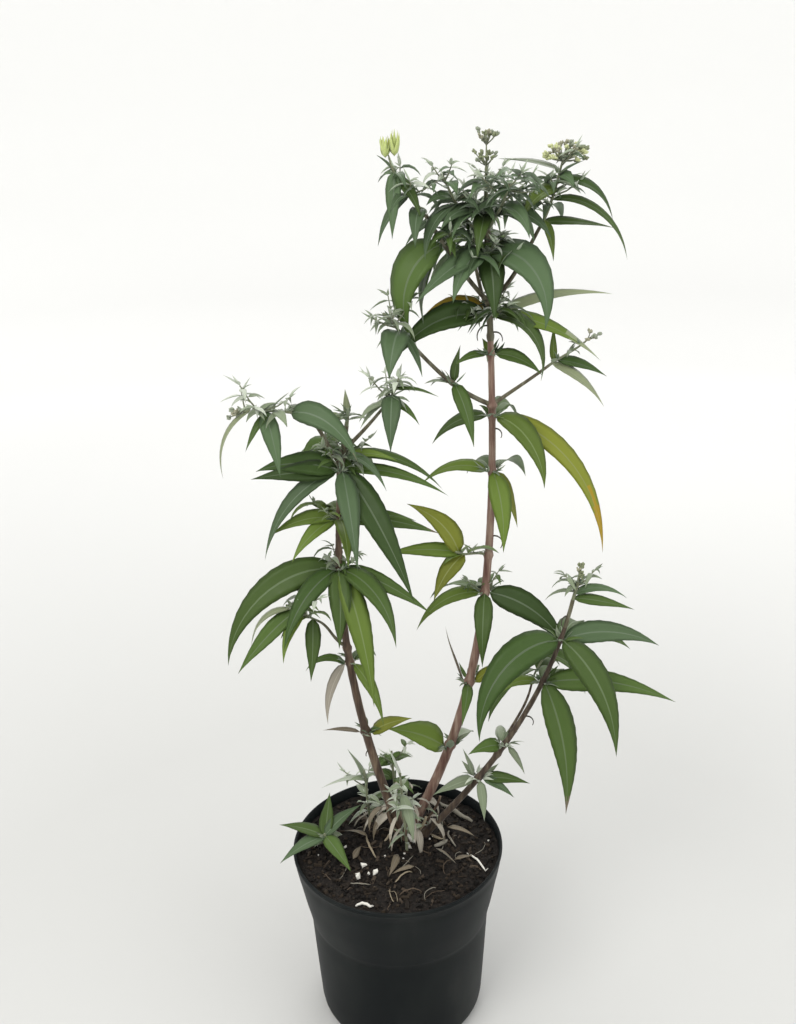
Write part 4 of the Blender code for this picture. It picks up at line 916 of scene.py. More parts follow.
def rough_blade(root, leaf, stations):
    """The blade as three-sided sections, by which its room is tested."""
    midrib, leans = midrib_of(root, leaf)
    vertices = []
    for share, width in stations:
        step = min(int(share * LEAF_CURVE_STEPS), LEAF_CURVE_STEPS - 1)
        across, face = blade_axes(leaf, leans[step])
        half = leaf.width * width / 2
        rise = face * FOLD_RISE * 2 * half
        keel = face * max(KEEL_DEPTH * 2 * half, leaf.length / LENGTHS_TO_KEEL)
        point = midrib[step]
        vertices += [point + across * half + rise, point - across * half + rise, point - keel]
    vertices.append(midrib[-1])
    return vertices


def rough_faces(sections):
    faces = [[0, 1, 2]]
    for section in range(sections - 1):
        low = 3 * section
        for corner in range(3):
            after = (corner + 1) % 3
            faces.append([low + after, low + corner, low + 3 + corner])
            faces.append([low + after, low + 3 + corner, low + 3 + after])
    last = 3 * (sections - 1)
    for corner in range(3):
        faces.append([last + (corner + 1) % 3, last + corner, last + 3])
    return faces


def grown(vertices):
    """The same blade pushed out by the clearance that it keeps to other masses."""
    middle = sum(vertices, Vector()) / len(vertices)
    wide = []
    for section in range(0, len(vertices) - 1, 3):
        centre = sum(vertices[section:section + 3], Vector()) / 3
        for vertex in vertices[section:section + 3]:
            wide.append(vertex + (vertex - centre).normalized() * LEAF_CLEARANCE)
    wide.append(vertices[-1] + (vertices[-1] - middle).normalized() * LEAF_CLEARANCE)
    return wide


class Space:
    """What the pot, the limbs and other masses fill, so that a leaf which would touch them is turned."""

    def __init__(self):
        self.trees = {}

    def add(self, name, vertices, faces):
        self.trees.setdefault(name, []).append(BVHTree.FromPolygons(vertices, faces))

    def free(self, name, vertices, faces):
        probe = BVHTree.FromPolygons(vertices, faces)
        for owner, trees in self.trees.items():
            if owner != name and any(probe.overlap(tree) for tree in trees):
                return False
        return all(vertex.z > POT_HEIGHT or math.hypot(vertex.x, vertex.y) > POT_RIM_RADIUS or
                   vertex.z > soil_height(vertex.x, vertex.y) for vertex in vertices)


def place_leaf(name, root, leaf, space):
    """The leaf at its own heading, or at the nearest one that is free, shortened at need."""
    for scale in LENGTH_TRIES:
        for turn in TURN_TRIES:
            tried = leaf._replace(heading=leaf.heading + turn, length=leaf.length * scale)
            stations = leaf_stations(tried)
            faces = rough_faces(len(stations))
            vertices = rough_blade(root(tried), tried, stations)
            if tried.length >= SHORTEST_LEAF and space.free(name, grown(vertices), faces):
                space.add(name, vertices, faces)
                return tried
    return None


def either_way(rng, reach):
    return rng.uniform(-reach, reach)


def rule_leaves(mass, rng):
    """Leaves in crossed pairs along the shoot, shorter to its tip, besides those that the table names."""
    leaves = []
    for pair in range(mass.pairs):
        along = min((pair + PAIR_OFFSET) / mass.pairs, LAST_PAIR_PLACE)
        for side in (0, 180):
            heading = PAIR_TURN * (pair % 2) + FIRST_PAIR_HEADING + side + either_way(rng, PAIR_SPREAD)
            rise = rng.uniform(*PAIR_RISE)
            fall = -mass.reach_down + rng.uniform(*PAIR_FALL)
            length = mass.length * (1 - TIP_SHRINK * along) * rng.uniform(*PAIR_LENGTH)
            width = mass.width * rng.uniform(*PAIR_WIDTH)
            leaves.append(Leaf(along, heading, rise, fall, length, width, either_way(rng, RULE_TURN)))
    return leaves


def whorl_fill(mass, rng):
    """Leaves in the widest gaps between a whorl's named headings, mostly at the back."""
    headings = sorted(leaf.heading % 360 for leaf in mass.leaves)
    leaves = []
    for _ in range(mass.pairs):
        after = headings[1:] + headings[:1]
        gap, before = max(((high - low) % 360 or 360, low) for low, high in zip(headings, after))
        heading = (before + gap / 2 + either_way(rng, FILL_SPREAD)) % 360
        headings = sorted(headings + [heading])
        rise = rng.uniform(*FILL_RISE)
        fall = -mass.reach_down + rng.uniform(*FILL_FALL)
        length = mass.length * rng.uniform(*FILL_LENGTH)
        leaves.append(Leaf(0, heading, rise, fall, length, mass.width, either_way(rng, RULE_TURN)))
    return leaves


def axil_leaves(rng):
    """The small felted leaves of the young shoots that stand in the leaf axils."""
    leaves = []
    for _ in range(AXIL_LEAVES):
        along = rng.uniform(*AXIL_PLACE)
        heading = rng.uniform(0, 360)
        rise = rng.uniform(*AXIL_RISE)
        fall = rng.uniform(*AXIL_FALL)
        length = rng.uniform(*AXIL_LENGTH)
        width = rng.uniform(*AXIL_WIDTH)
        leaves.append(Leaf(along, heading, rise, fall, length, width, either_way(rng, RULE_TURN)))
    return leaves


# Leaves: how each one is drawn

def width_share(share):
    """A lance shape: a narrow foot, full width before the middle and a long drawn-out tip."""
    if share == 0:
        return FOOT_WIDTH
    belly = math.sin(math.pi * share ** BELLY_PLACE) ** BELLY_FULLNESS * (1 - share) ** TIP_DRAW
    return max(FOOT_WIDTH * (1 - share), BELLY_WIDTH * belly)


def sampled(midrib, leans, share):
    """The point at a share of a midrib and the direction there."""
    place = share * LEAF_CURVE_STEPS
    step = min(int(place), LEAF_CURVE_STEPS - 1)
    ahead = min(step + 1, LEAF_CURVE_STEPS - 1)
    part = place - step
    along = leans[step].lerp(leans[ahead], part if ahead > step else 0).normalized()
    return midrib[step].lerp(midrib[step + 1], part), along


Blade = namedtuple("Blade", "inner outer turning shade fold twist bend wave phases")


def blade_of(leaf, tint, rng):
    """A blade's own shade, fold, twist, bend and waves, and how far out its second tint begins."""
    inner, _, outer = tint.partition(">")
    shade = rng.randrange(len(SHADES))
    fold = FOLD_RISE * rng.uniform(*FOLD_RANGE)
    twist = either_way(rng, BLADE_TWIST)
    bend = either_way(rng, BLADE_BEND) * leaf.length
    wave = rng.uniform(*WAVE_RANGE)
    phases = (rng.uniform(*WAVE_START), rng.uniform(*WAVE_START))
    turning = rng.uniform(*TURNING_RANGE)
    if not outer and leaf.length > LONG_LEAF and rng.random() < DRY_TIP_CHANCE:
        outer = "dry"
        turning = DRY_TIP_PLACE
    return Blade(inner, outer, turning, shade, fold, twist, bend, wave, phases)


def blade_section(leaf, blade, midrib, leans, station, share):
    """The points of one section of the blade: across its upper face and back under it."""
    point, along = sampled(midrib, leans, share)
    across, face = blade_axes(leaf, along, blade.twist * share)
    half = leaf.width / 2 * width_share(share)
    tooth = 1 + TOOTH_DEPTH * (station % 2 - 0.5) * (1 if leaf.length > SHORT_LEAF else 0)
    vein = VEIN_RELIEF * half * (1 if station % 2 else -1)
    thickness = min(max(BLADE_THICKNESS, leaf.length / LENGTHS_TO_THICKNESS), half * THICKEST_SHARE)
    point = point + across * blade.bend * math.sin(math.pi * share)
    points = []
    for place in ACROSS + UNDER:
        side = 0 if place < 0 else 1
        lift = blade.fold * 2 * half * abs(place) ** FOLD_POWER
        lift += blade.wave * half * math.sin(WAVES * share + blade.phases[side]) * place ** 2
        lift += vein if abs(place) == QUILT else 0
        lift -= MIDRIB_RELIEF * half if abs(place) < QUILT else 0
        points.append(point + across * half * place * (tooth if abs(place) == 1 else 1) + face * lift)
    for under in range(-len(UNDER), 0):
        points[under] -= face * thickness * (2 if under == UNDER_MIDRIB else 1)
    return points


def strip_faces(low, corner, at_tip):
    """The faces from one corner of a section to the next, up to the section above or to the tip."""
    after = (corner + 1) % BLADE_RING
    above = low + BLADE_RING
    if at_tip:
        return [[low + after, low + corner, above]]
    if after in MARGINS:
        return [[low + after, low + corner, above + corner], [low + after, above + corner, above + after]]
    if corner in MARGINS:
        return [[low + after, low + corner, above + after], [low + corner, above + corner, above + after]]
    return [[low + after, low + corner, above + corner, above + after]]


def draw_leaf(build, root, leaf, tint, rng):
    """A folded, veined blade with a toothed edge, closed by its paler under face."""
    midrib, leans = midrib_of(root, leaf)
    count = min(max(int(leaf.length / STATION_SPACING), FEWEST_STATIONS), MOST_STATIONS)
    blade = blade_of(leaf, tint, rng)
    points = []
    for station in range(count):
        points += blade_section(leaf, blade, midrib, leans, station, station / count)
    points.append(midrib[-1])
    rows = [blade.shade] * 2 + ["rib"] + [blade.shade] * 2 + ["under"] * (len(UNDER) + 1)
    borders = [blade.turning + either_way(rng, RAGGED_EDGE) for _ in rows]
    faces = [list(range(BLADE_RING))]
    finishes = [f"{blade.inner}_under"]
    for station in range(count):
        for corner, row in enumerate(rows):
            colour = blade.outer if blade.outer and station / count > borders[corner] else blade.inner
            strip = strip_faces(station * BLADE_RING, corner, station == count - 1)
            faces += strip
            finishes += [f"{colour}_{row}"] * len(strip)
    build.add(points, faces, finishes)


def draw_petiole(build, start, leaf, root, tint):
    midrib, _ = midrib_of(root, leaf)
    radius = min(PETIOLE_RADIUS, leaf.length / LENGTHS_TO_PETIOLE)
    plain_tube(build, [start, midrib[0], midrib[1]], [radius * taper for taper in STALK_TAPER], THIN_SIDES,
               tint.partition(">")[0] + "_rib")


def draw_tuft(build, start, outward, count, tint, rng):
    """A tuft of tiny felted leaves, as at the heart of a young shoot."""
    for _ in range(count):
        leaf = Leaf(0, outward + either_way(rng, TUFT_SPREAD), rng.uniform(*TUFT_RISE),
                    rng.uniform(*TUFT_FALL), rng.uniform(*TUFT_LENGTH), rng.uniform(*TUFT_WIDTH),
                    either_way(rng, RULE_TURN))
        draw_leaf(build, start, leaf, tint, rng)


def draw_fine_twig(leaves, twigs, start, heading, tints, tuft_tint, rng, form):
    """A twig of the last order, with two crossed pairs of small leaves and a tuft at its end."""
    length = rng.uniform(*form.reach)
    pitch = rng.uniform(*form.pitch)
    end = start + lean(heading, pitch) * length
    middle = start.lerp(end, 0.5) - Vector((0, 0, length * TWIG_SAG))
    radii = [FINE_TWIG_RADIUS * taper for taper in STALK_TAPER]
    plain_tube(twigs, [start, middle, end], radii, THIN_SIDES, "twig")
    for pair, place in enumerate(TWIG_PAIRS):
        for side in (0, 180):
            outward = heading + PAIR_TURN * pair + side + either_way(rng, TWIG_LEAF_TURN)
            leaf = Leaf(0, outward, rng.uniform(*TWIG_LEAF_RISE), rng.uniform(*TWIG_LEAF_FALL),
                        rng.uniform(*form.length), rng.uniform(*form.width), either_way(rng, RULE_TURN))
            draw_leaf(leaves, start.lerp(end, place), leaf, rng.choice(tints), rng)
    draw_tuft(leaves, end, heading, TUFT_OF_SHOOT, tuft_tint, rng)


# Buds and spent flower heads

def bead(build, centre, radius, along, finish):
    """A small seed husk or bud: two rings between two points."""
    side = along.orthogonal().normalized()
    other = along.cross(side)
    points = [centre - along * radius * BEAD_ENDS[0]]
    for height, spread in BEAD_SECTIONS:
        for corner in range(BEAD_SIDES):
            angle = 2 * math.pi * corner / BEAD_SIDES
            points.append(centre + along * radius * height
                          + (side * math.cos(angle) + other * math.sin(angle)) * radius * spread)
    points.append(centre + along * radius * BEAD_ENDS[1])
    top = len(points) - 1
    faces = []
    for corner in range(BEAD_SIDES):
        low = 1 + corner
        next_low = 1 + (corner + 1) % BEAD_SIDES
        faces += [[0, next_low, low], [low, next_low, next_low + BEAD_SIDES, low + BEAD_SIDES],
                  [low + BEAD_SIDES, next_low + BEAD_SIDES, top]]
    build.add(points, faces, finish)


def bud_finish(tint):
    return {"grey": "bud_grey", "lime": "bud_lime"}.get(tint, tint)


def draw_bunch(build, foot, centre, spread, half_height, stalks, tints, rng):
    """Thin side stalks from one foot, each with a cluster of beads at its end."""
    for number in range(stalks):
        angle = math.radians(GOLDEN_TURN * number)
        reach = spread * math.sqrt((number + 0.5) / stalks)
        end = centre + Vector((math.cos(angle) * reach, math.sin(angle) * reach,
                               half_height * either_way(rng, 1)))
        plain_tube(build, [foot, foot.lerp(end, STALK_BEND) - Vector((0, 0, STALK_DROOP)), end],
                   STALK_RADII, THREAD_SIDES, "twig")
        finish = bud_finish(rng.choice(tints))
        for _ in range(BUNCH_BEADS):
            offset = Vector([either_way(rng, 1) for _ in "xyz"]) * BUNCH_RADIUS
            along = (end - foot + offset * 2).normalized()
            bead(build, end + offset, rng.uniform(*BEAD_RADIUS), along, finish)


def draw_head(build, form, route, rng):
    """The spent panicle, bud cluster or young tip that ends a shoot."""
    tip, along, tip_radius = route.at(1)
    bunches = HEADS[form]
    top = tip + along * bunches[-1][1]
    plain_tube(build, [tip - along * HEAD_FOOT, tip.lerp(top, 0.5), top],
               [tip_radius * taper for taper in HEAD_TAPER], TWIG_SIDES, "twig")
    for sideways, height, spread, half_height, stalks, tints in bunches:
        centre = tip + along * height + Vector((sideways, 0, 0))
        foot = tip + along * max(height - half_height * 2, 0)
        if tints == ("lime",):
            for number in range(stalks):
                leaf = Leaf(0, GOLDEN_TURN * number, rng.uniform(*YOUNG_RISE), rng.uniform(*YOUNG_FALL),
                            half_height * rng.uniform(*YOUNG_LENGTH), spread, either_way(rng, RULE_TURN))
                place = tip + Vector((sideways * YOUNG_FOOT[0], 0, height * YOUNG_FOOT[1]))
                draw_leaf(build, place, leaf, "lime", rng)
        else:
            draw_bunch(build, foot, centre, spread, half_height, stalks, tints, rng)


# The foliage of each group of masses

GROUPS = {"tall": [], "crown": [], "left": [], "right": [], "basal": []}


def group_of(name):
    first = name.split("_")[0]
    return first if first in GROUPS and not name.endswith("shoot") else "basal"


def whorl_places(mass, routes):
    """Where a whorl's leaves are rooted round its limb, and where their stalks start inside it."""
    host = routes[mass.limb[0]]
    centre, _, radius = host.at(host.share_at_height(mass.limb[1]))
    inner = (radius + GAP) / math.cos(math.pi / STEM_SIDES) + COLLAR_CLEARANCE
    reach = inner + COLLAR_THICKNESS * ROOT_DEPTH
    return lambda leaf: centre + lean(leaf.heading, 0) * reach, lambda leaf: centre


def draw_finest(name, mass, root, start, leaves, twigs, rng):
    """The felted tufts of a mass and its twigs of the last order."""
    felts = ("silver", "grey") if name.startswith(SILVERY) else ("grey", "blue")
    in_tuft = TUFT_OF_WHORL if mass.limb else TUFT_OF_SHOOT
    for number in range(WHORL_TUFTS if mass.limb else SPRAY_TUFTS):
        probe = Leaf((number + 0.5) / SPRAY_TUFTS, rng.uniform(0, 360), 0, 0, 0, 0, 0)
        draw_tuft(leaves, root(probe), probe.heading, in_tuft, rng.choice(felts), rng)
    tints = mass.tints.split()
    count = FINE_TWIGS.get(name, 0)
    for number in range(count):
        along = rng.uniform(*TWIG_PLACE)
        probe = Leaf(along, 360 / count * number + either_way(rng, PAIR_SPREAD), 0, 0, 0, 0, 0)
        form = LEAFY_TWIG if name in LEAFY and number % 2 else FINE_TWIG
        twig_tints = (tints[-1], tints[0] if form is LEAFY_TWIG else felts[0])
        draw_fine_twig(leaves, twigs, start(probe), probe.heading, twig_tints, felts[0], rng, form)


def draw_mass(name, mass, routes, space, leaves_build, twigs_build, heads_build):
    """One mass: its own leaves by the table and the rule, then its tufts, fine twigs and heads."""
    rng = random.Random(mass.seed)
    fine = random.Random(FINE_SEED + mass.seed)
    if mass.limb:
        root, start = whorl_places(mass, routes)
        leaves = list(mass.leaves) + whorl_fill(mass, rng) + axil_leaves(rng)
    else:
        route = routes[name]
        finer = sunk(route.finer(), SINK)
        plain_tube(twigs_build, finer.points, finer.radii, SHOOT_TUBE_SIDES, "twig")
        leaves = list(mass.leaves) + rule_leaves(mass, rng) + axil_leaves(rng)

        def root(leaf):
            return route.at(LOWEST_ROOT + ROOT_STRETCH * leaf.along)[0]

        start = root
    tints = mass.tints.split()
    for number, leaf in enumerate(leaves):
        placed = place_leaf(name, root, leaf, space)
        if placed is not None:
            tint = tints[min(number, len(tints) - 1)]
            draw_leaf(leaves_build, root(placed), placed, tint, fine)
            draw_petiole(leaves_build, start(placed), placed, root(placed), tint)
    draw_finest(name, mass, root, start, leaves_build, twigs_build, fine)
    if mass.tip:
        draw_head(heads_build, mass.tip, routes[name], fine)


def draw_twiglets(build, routes):
    """Withered side shoots, hooked at their ends."""
    rng = random.Random(TWIGLET_SEED)
    for limb, height, heading, length in TWIGLETS:
        host = routes[limb]
        place, _, _ = host.at(host.share_at_height(height))
        points = [place]
        pitch = rng.uniform(*TWIGLET_PITCH)
        for step in range(TWIGLET_STEPS):
            points.append(points[-1] + lean(heading + step * TWIGLET_TURN, pitch) * length / TWIGLET_STEPS)
            pitch -= rng.uniform(*TWIGLET_HOOK)
        radii = [TWIGLET_RADIUS - TWIGLET_TAPER * step for step in range(TWIGLET_STEPS + 1)]
        plain_tube(build, points, radii, TWIG_SIDES, "twig_dark")


def draw_foliage(routes):
    """All masses in the order of the table, each kept clear of what stands already."""
    space = Space()
    for node in ("pot", "soil"):
        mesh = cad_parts[node].data
        space.add(node, [vertex.co for vertex in mesh.vertices],
                  [list(face.vertices) for face in mesh.polygons])
    for table, sides in ((STEMS, STEM_SIDES), (BOUGHS, BOUGH_SIDES), (SHOOTS, SHOOT_SIDES)):
        for name in table:
            route = routes[name]
            space.add(name, rings_along(route.points, route.radii, sides, name in STEMS),
                      tube_faces(len(route.points), sides))
    twigs = Build()
    heads = Build()
    leaves = {group: Build() for group in GROUPS}
    for name, mass in MASSES.items():
        group = group_of(name)
        GROUPS[group].append(name)
        draw_mass(name, mass, routes, space, leaves[group], twigs, heads)
    draw_twiglets(twigs, routes)
    for group, names in GROUPS.items():
        leaves[group].piece(f"leaves_{group}", "young_foliage" if group == "basal" else "foliage", names)
    twigs.piece("twigs", "stem_bark", list(SHOOTS))
    heads.piece("flower_heads", "young_foliage", [name for name, mass in MASSES.items() if mass.tip])


# Pot

def turned(outline, sides):
    """The points and faces of an outline of (height, radius) pairs turned about the axis."""
    points = []
    rings = []
    for height, radius in outline:
        count = sides if radius else 1
        rings.append(list(range(len(points), len(points) + count)))
        for step in range(count):
            angle = 2 * math.pi * step / count
            points.append(Vector((radius * math.cos(angle), radius * math.sin(angle), height)))
    faces = []
    for upper, lower in zip(rings, rings[1:]):
        for step in range(sides):
            after = (step + 1) % sides
            corners = [upper[step % len(upper)], lower[step % len(lower)],
                       lower[after % len(lower)], upper[after % len(upper)]]
            faces.append(list(dict.fromkeys(corners)))
    return points, faces


# Height and outer radius down the pot: rolled rim, flared collar with its step, tapering body, foot
POT_PROFILE = (
    (0.1700, 0.0934), (0.1699, 0.0941), (0.1692, 0.0945), (0.1680, 0.0946), (0.1668, 0.0945),
    (0.1660, 0.0942), (0.1655, 0.0938), (0.1590, 0.0931), (0.1500, 0.0915), (0.1420, 0.0898),
    (0.1300, 0.0876), (0.1200, 0.0856), (0.1120, 0.0838), (0.1060, 0.0825), (0.1040, 0.0821),
    (0.1025, 0.0815), (0.0990, 0.0811), (0.0920, 0.0809), (0.0700, 0.0796), (0.0500, 0.0784),
    (0.0300, 0.0771), (0.0120, 0.0759), (0.0070, 0.0750), (0.0040, 0.0737), (0.0016, 0.0720),
    (0.0004, 0.0705), (0.0000, 0.0690),
)
COLLAR_ROW = 7
FOOT_ROWS = 4


def draw_pot():
    inner = [(height, radius - POT_WALL) for height, radius in POT_PROFILE[COLLAR_ROW:-FOOT_ROWS]]
    inner = [(POT_HEIGHT - RIM_DROP, POT_PROFILE[0][1] - POT_WALL * RIM_WALL)] + inner
    inner.append((POT_FLOOR, inner[-1][1] - POT_WALL))
    outline = [(POT_FLOOR, 0)] + inner[::-1] + list(POT_PROFILE) + [(0, 0)]
    build = Build()
    build.add(*turned(outline, POT_SIDES), "black_plastic")
    build.piece("pot_shell", "pot", ["pot"])


# Compost and what lies on it: its relief, its crumbs, and the curled straws

GROUND_RELIEF = 0.0016
GROUND_GRAIN = 120
GROUND_NOISE = (0.8, 2.0, 4)
GROUND_DROP = 0.001
HEAP_HEIGHT = 0.0045
HEAP_REACH = 0.028
WALL_MARGIN = 0.004
CRUMBS = 1500
CRUMB_SIZE = (0.0005, 0.0020)
CRUMB_LIFT = 0.5
CRUMB_BREADTH = (0.6, 1)
CRUMB_HEIGHT = (0.5, 0.9)
CRUMB_FINISHES = ("crumb_black", "crumb_black", "crumb_brown", "crumb_brown", "crumb_red")
BARK_BITS = 150
BARK_BIT_SIZE = (0.0020, 0.0052)
BARK_BIT_FINISHES = ("bark_bit", "crumb_red", "crumb_brown")
GRAINS = 16
GRAIN_SIZE = (0.0006, 0.0011)
GRAIN_HEIGHT = 0.8
PERLITE_LIFT = 0.7
PERLITE_BREADTH = 0.9
LITTER_LIFT = 0.0008
TURN_BACK = 120
STRAW_FINISHES = ("straw", "straw_grey", "straw_dark", "straw_dark")
STRAW_STEPS = 8
STRAW_SEED = 8
STRAW_BEND = 16
STRAW_LENGTH = (0.006, 0.024)
STRAW_LIFT = (0.0004, 0.0026)
STRAW_RADIUS = (0.0002, 0.0005)
STRAW_TAPER = 0.06
LITTER_STEPS = 10
LITTER_SIDES = 7
LITTER_TAPER = 0.5
LITTER_ARCH = 0.002
CRUMB_SEED = 5
CHUNK_TURN = (0, 6.3)
CHUNK_CORNERS = (0.5, 1.1)
BARK_BIT_SHAPE = (0.35, 0.22)
BARK_BIT_LIFT = 0.0012


def inner_radius(height):
    """The radius of the pot's inside at a height."""
    walls = POT_PROFILE[COLLAR_ROW - 1:-FOOT_ROWS]
    for (upper, wide), (lower, narrow) in zip(walls, walls[1:]):
        if lower <= height <= upper:
            return narrow + (wide - narrow) * (height - lower) / (upper - lower) - POT_WALL
    return (walls[0] if height > POT_FLOOR * 2 else walls[-1])[1] - POT_WALL * 2


def ground(x, y):
    """The compost's bumpy surface, heaped a little round the stems."""
    rough = GROUND_RELIEF * noise.fractal(Vector((x, y, 0)) * GROUND_GRAIN, *GROUND_NOISE)
    away = (x - PLANT_FOOT[0]) ** 2 + (y - PLANT_FOOT[1]) ** 2
    heap = HEAP_HEIGHT * math.exp(-away / HEAP_REACH ** 2)
    return soil_height(x, y) + rough + heap - GROUND_DROP


def draw_soil():
    """The compost: a fine bumpy disc that reaches the pot's wall, on a plug that follows the wall down."""
    build = Build()
    points = [Vector((0, 0, ground(0, 0)))]
    edges = []
    for step in range(SOIL_SIDES):
        angle = 2 * math.pi * step / SOIL_SIDES
        ahead = Vector((math.cos(angle), math.sin(angle), 0))
        brim = inner_radius(soil_height(*(ahead * POT_RIM_RADIUS).xy)) - PLUG_GAP
        edges.append((ahead, brim))
    for ring in range(1, SOIL_RINGS + 1):
        for ahead, brim in edges:
            place = ahead * brim * ring / SOIL_RINGS
            points.append(Vector((place.x, place.y, ground(place.x, place.y))))
    for level in range(1, PLUG_RINGS + 1):
        for number, (ahead, brim) in enumerate(edges):
            top = points[1 + (SOIL_RINGS - 1) * SOIL_SIDES + number].z
            height = top + (POT_FLOOR + GAP - top) * level / PLUG_RINGS
            radius = min(brim, inner_radius(height) - PLUG_GAP)
            points.append(Vector((ahead.x * radius, ahead.y * radius, height)))
    faces = [[0, 1 + step, 1 + (step + 1) % SOIL_SIDES] for step in range(SOIL_SIDES)]
    for ring in range(SOIL_RINGS + PLUG_RINGS - 1):
        low = 1 + ring * SOIL_SIDES
        for step in range(SOIL_SIDES):
            after = (step + 1) % SOIL_SIDES
            faces.append([low + step, low + SOIL_SIDES + step, low + SOIL_SIDES + after, low + after])
    faces.append([len(points) - SOIL_SIDES + step for step in range(SOIL_SIDES)][::-1])
    build.add(points, faces, "soil_ground")
    build.piece("compost", "soil", ["soil"])


def chunk(build, centre, size, finish, rng):
    """An angular crumb: an eight-cornered lump with every corner pushed in or out."""
    turn = Matrix.Rotation(rng.uniform(*CHUNK_TURN), 3, "Z")
    turn @= Matrix.Rotation(rng.uniform(*CHUNK_TURN), 3, "X")
    corners = []
    for x in (-1, 1):
        for y in (-1, 1):
            for z in (-1, 1):
                corner = Vector((x * size[0], y * size[1], z * size[2])) * rng.uniform(*CHUNK_CORNERS)
                corners.append(centre + turn @ corner)
    faces = [[0, 1, 3, 2], [4, 6, 7, 5], [0, 4, 5, 1], [2, 3, 7, 6], [0, 2, 6, 4], [1, 5, 7, 3]]
    build.add(corners, faces, finish)


def spot(rng, reach):
    """A random place on the compost inside a radius."""
    radius = reach * math.sqrt(rng.random())
    angle = rng.uniform(0, 2 * math.pi)
    return radius * math.cos(angle), radius * math.sin(angle)


def draw_crumbs():
    """Crumbs, bits of bark and white grains, strewn over the compost."""
    rng = random.Random(CRUMB_SEED)
    build = Build()
    reach = inner_radius(SOIL_LEVEL) - WALL_MARGIN
    for _ in range(CRUMBS):
        x, y = spot(rng, reach)
        size = rng.uniform(*CRUMB_SIZE)
        finish = rng.choice(CRUMB_FINISHES)
        place = Vector((x, y, ground(x, y) + size * CRUMB_LIFT))
        shape = (size, size * rng.uniform(*CRUMB_BREADTH), size * rng.uniform(*CRUMB_HEIGHT))
        chunk(build, place, shape, finish, rng)
    for _ in range(BARK_BITS):
        x, y = spot(rng, reach - WALL_MARGIN)
        size = rng.uniform(*BARK_BIT_SIZE)
        place = Vector((x, y, ground(x, y) + BARK_BIT_LIFT))
        finish = rng.choice(BARK_BIT_FINISHES)
        chunk(build, place, (size, *[size * part for part in BARK_BIT_SHAPE]), finish, rng)
    for _ in range(GRAINS):
        x, y = spot(rng, reach - WALL_MARGIN)
        size = rng.uniform(*GRAIN_SIZE)
        place = Vector((x, y, ground(x, y) + size))
        chunk(build, place, (size, size, size * GRAIN_HEIGHT), "perlite", rng)
    for (x, y), size in PERLITE:
        place = Vector((x, y, ground(x, y) + size * PERLITE_LIFT))
        chunk(build, place, (size, size * PERLITE_BREADTH, size * GRAIN_HEIGHT), "perlite", rng)
    build.piece("compost_crumbs", "soil", ["soil"], smooth=False)


def lying(x, y, heading, turn, length, lift, steps):
    """Points along a curved stalk that lies on the compost and arches a little over it."""
    points = []
    for step in range(steps):
        rise = LITTER_LIFT + lift * math.sin(math.pi * step / (steps - 1))
        points.append(Vector((x, y, ground(x, y) + rise)))
        flat = lean(heading, 0) * length / (steps - 1)
        if math.hypot(x + flat.x, y + flat.y) > LITTER_REACH:
            heading += TURN_BACK
            flat = lean(heading, 0) * length / (steps - 1)
        x += flat.x
        y += flat.y
        heading += turn
    return points


def draw_straw():
    """Dry leaf stalks, roots and fibres that lie curled on the compost."""
    rng = random.Random(STRAW_SEED)
    build = Build()
    for _ in range(STRAWS):
        x, y = spot(rng, LITTER_REACH - WALL_MARGIN)
        points = lying(x, y, rng.uniform(0, 360), either_way(rng, STRAW_BEND), rng.uniform(*STRAW_LENGTH),
                       rng.uniform(*STRAW_LIFT), STRAW_STEPS)
        radius = rng.uniform(*STRAW_RADIUS)
        radii = [radius * (1 - STRAW_TAPER * step) for step in range(STRAW_STEPS)]
        plain_tube(build, points, radii, THIN_SIDES, rng.choice(STRAW_FINISHES))
    for (x, y), heading, turn, length, radius, finish in LITTER:
        points = lying(x, y, heading, turn, length, LITTER_ARCH, LITTER_STEPS)
        radii = [radius * math.sin(math.pi * (step + 1) / (LITTER_STEPS + 1)) ** LITTER_TAPER
                 for step in range(LITTER_STEPS)]
        plain_tube(build, points, radii, LITTER_SIDES, finish)
    build.piece("straw", "soil", ["soil"])


# Dead leaves at the plant's foot: place, height over the compost, heading, rise, fall, length, width
DEAD_LEAVES = (
    ((0.004, -0.006), 0.022, 205, -35, -100, 0.034, 0.008),
    ((-0.006, 0.004), 0.030, 165, -25, -95, 0.040, 0.008),
    ((0.018, -0.004), 0.020, 290, -30, -110, 0.030, 0.007),
    ((0.030, 0.006), 0.024, 330, -20, -100, 0.034, 0.007),
    ((0.010, 0.018), 0.034, 100, -30, -100, 0.036, 0.008),
    ((-0.014, 0.016), 0.026, 190, -15, -90, 0.036, 0.007),
    ((0.028, 0.022), 0.030, 40, -20, -100, 0.034, 0.008),
    ((0.000, -0.020), 0.006, 250, 10, -30, 0.026, 0.007),
    ((0.034, -0.012), 0.006, 310, 20, -20, 0.028, 0.006),
    ((-0.028, 0.006), 0.008, 150, 15, -25, 0.026, 0.007),
    ((0.046, 0.014), 0.010, 350, 10, -40, 0.028, 0.006),
    ((0.014, -0.032), 0.004, 200, 12, -20, 0.022, 0.005),
    ((0.050, -0.024), 0.004, 20, 14, -20, 0.020, 0.004),
    ((-0.040, -0.020), 0.004, 70, 12, -15, 0.020, 0.006),
)
DEAD_SEED = 21
DEAD_TURN = 40
DEAD_TINTS = ("dry", "papery", "dry", "papery>dry")
WITHERED_TINTS = ("dry", "papery", "grey", "papery>dry")
WITHERED_REACH = (0.006, 0.026)
WITHERED_HEIGHT = (0.012, 0.042)
WITHERED_RISE = (-10, 40)
WITHERED_FALL = (-120, -80)
WITHERED_LENGTH = (0.020, 0.034)
WITHERED_WIDTH = (0.0025, 0.0055)
WITHERED_TURN = 50


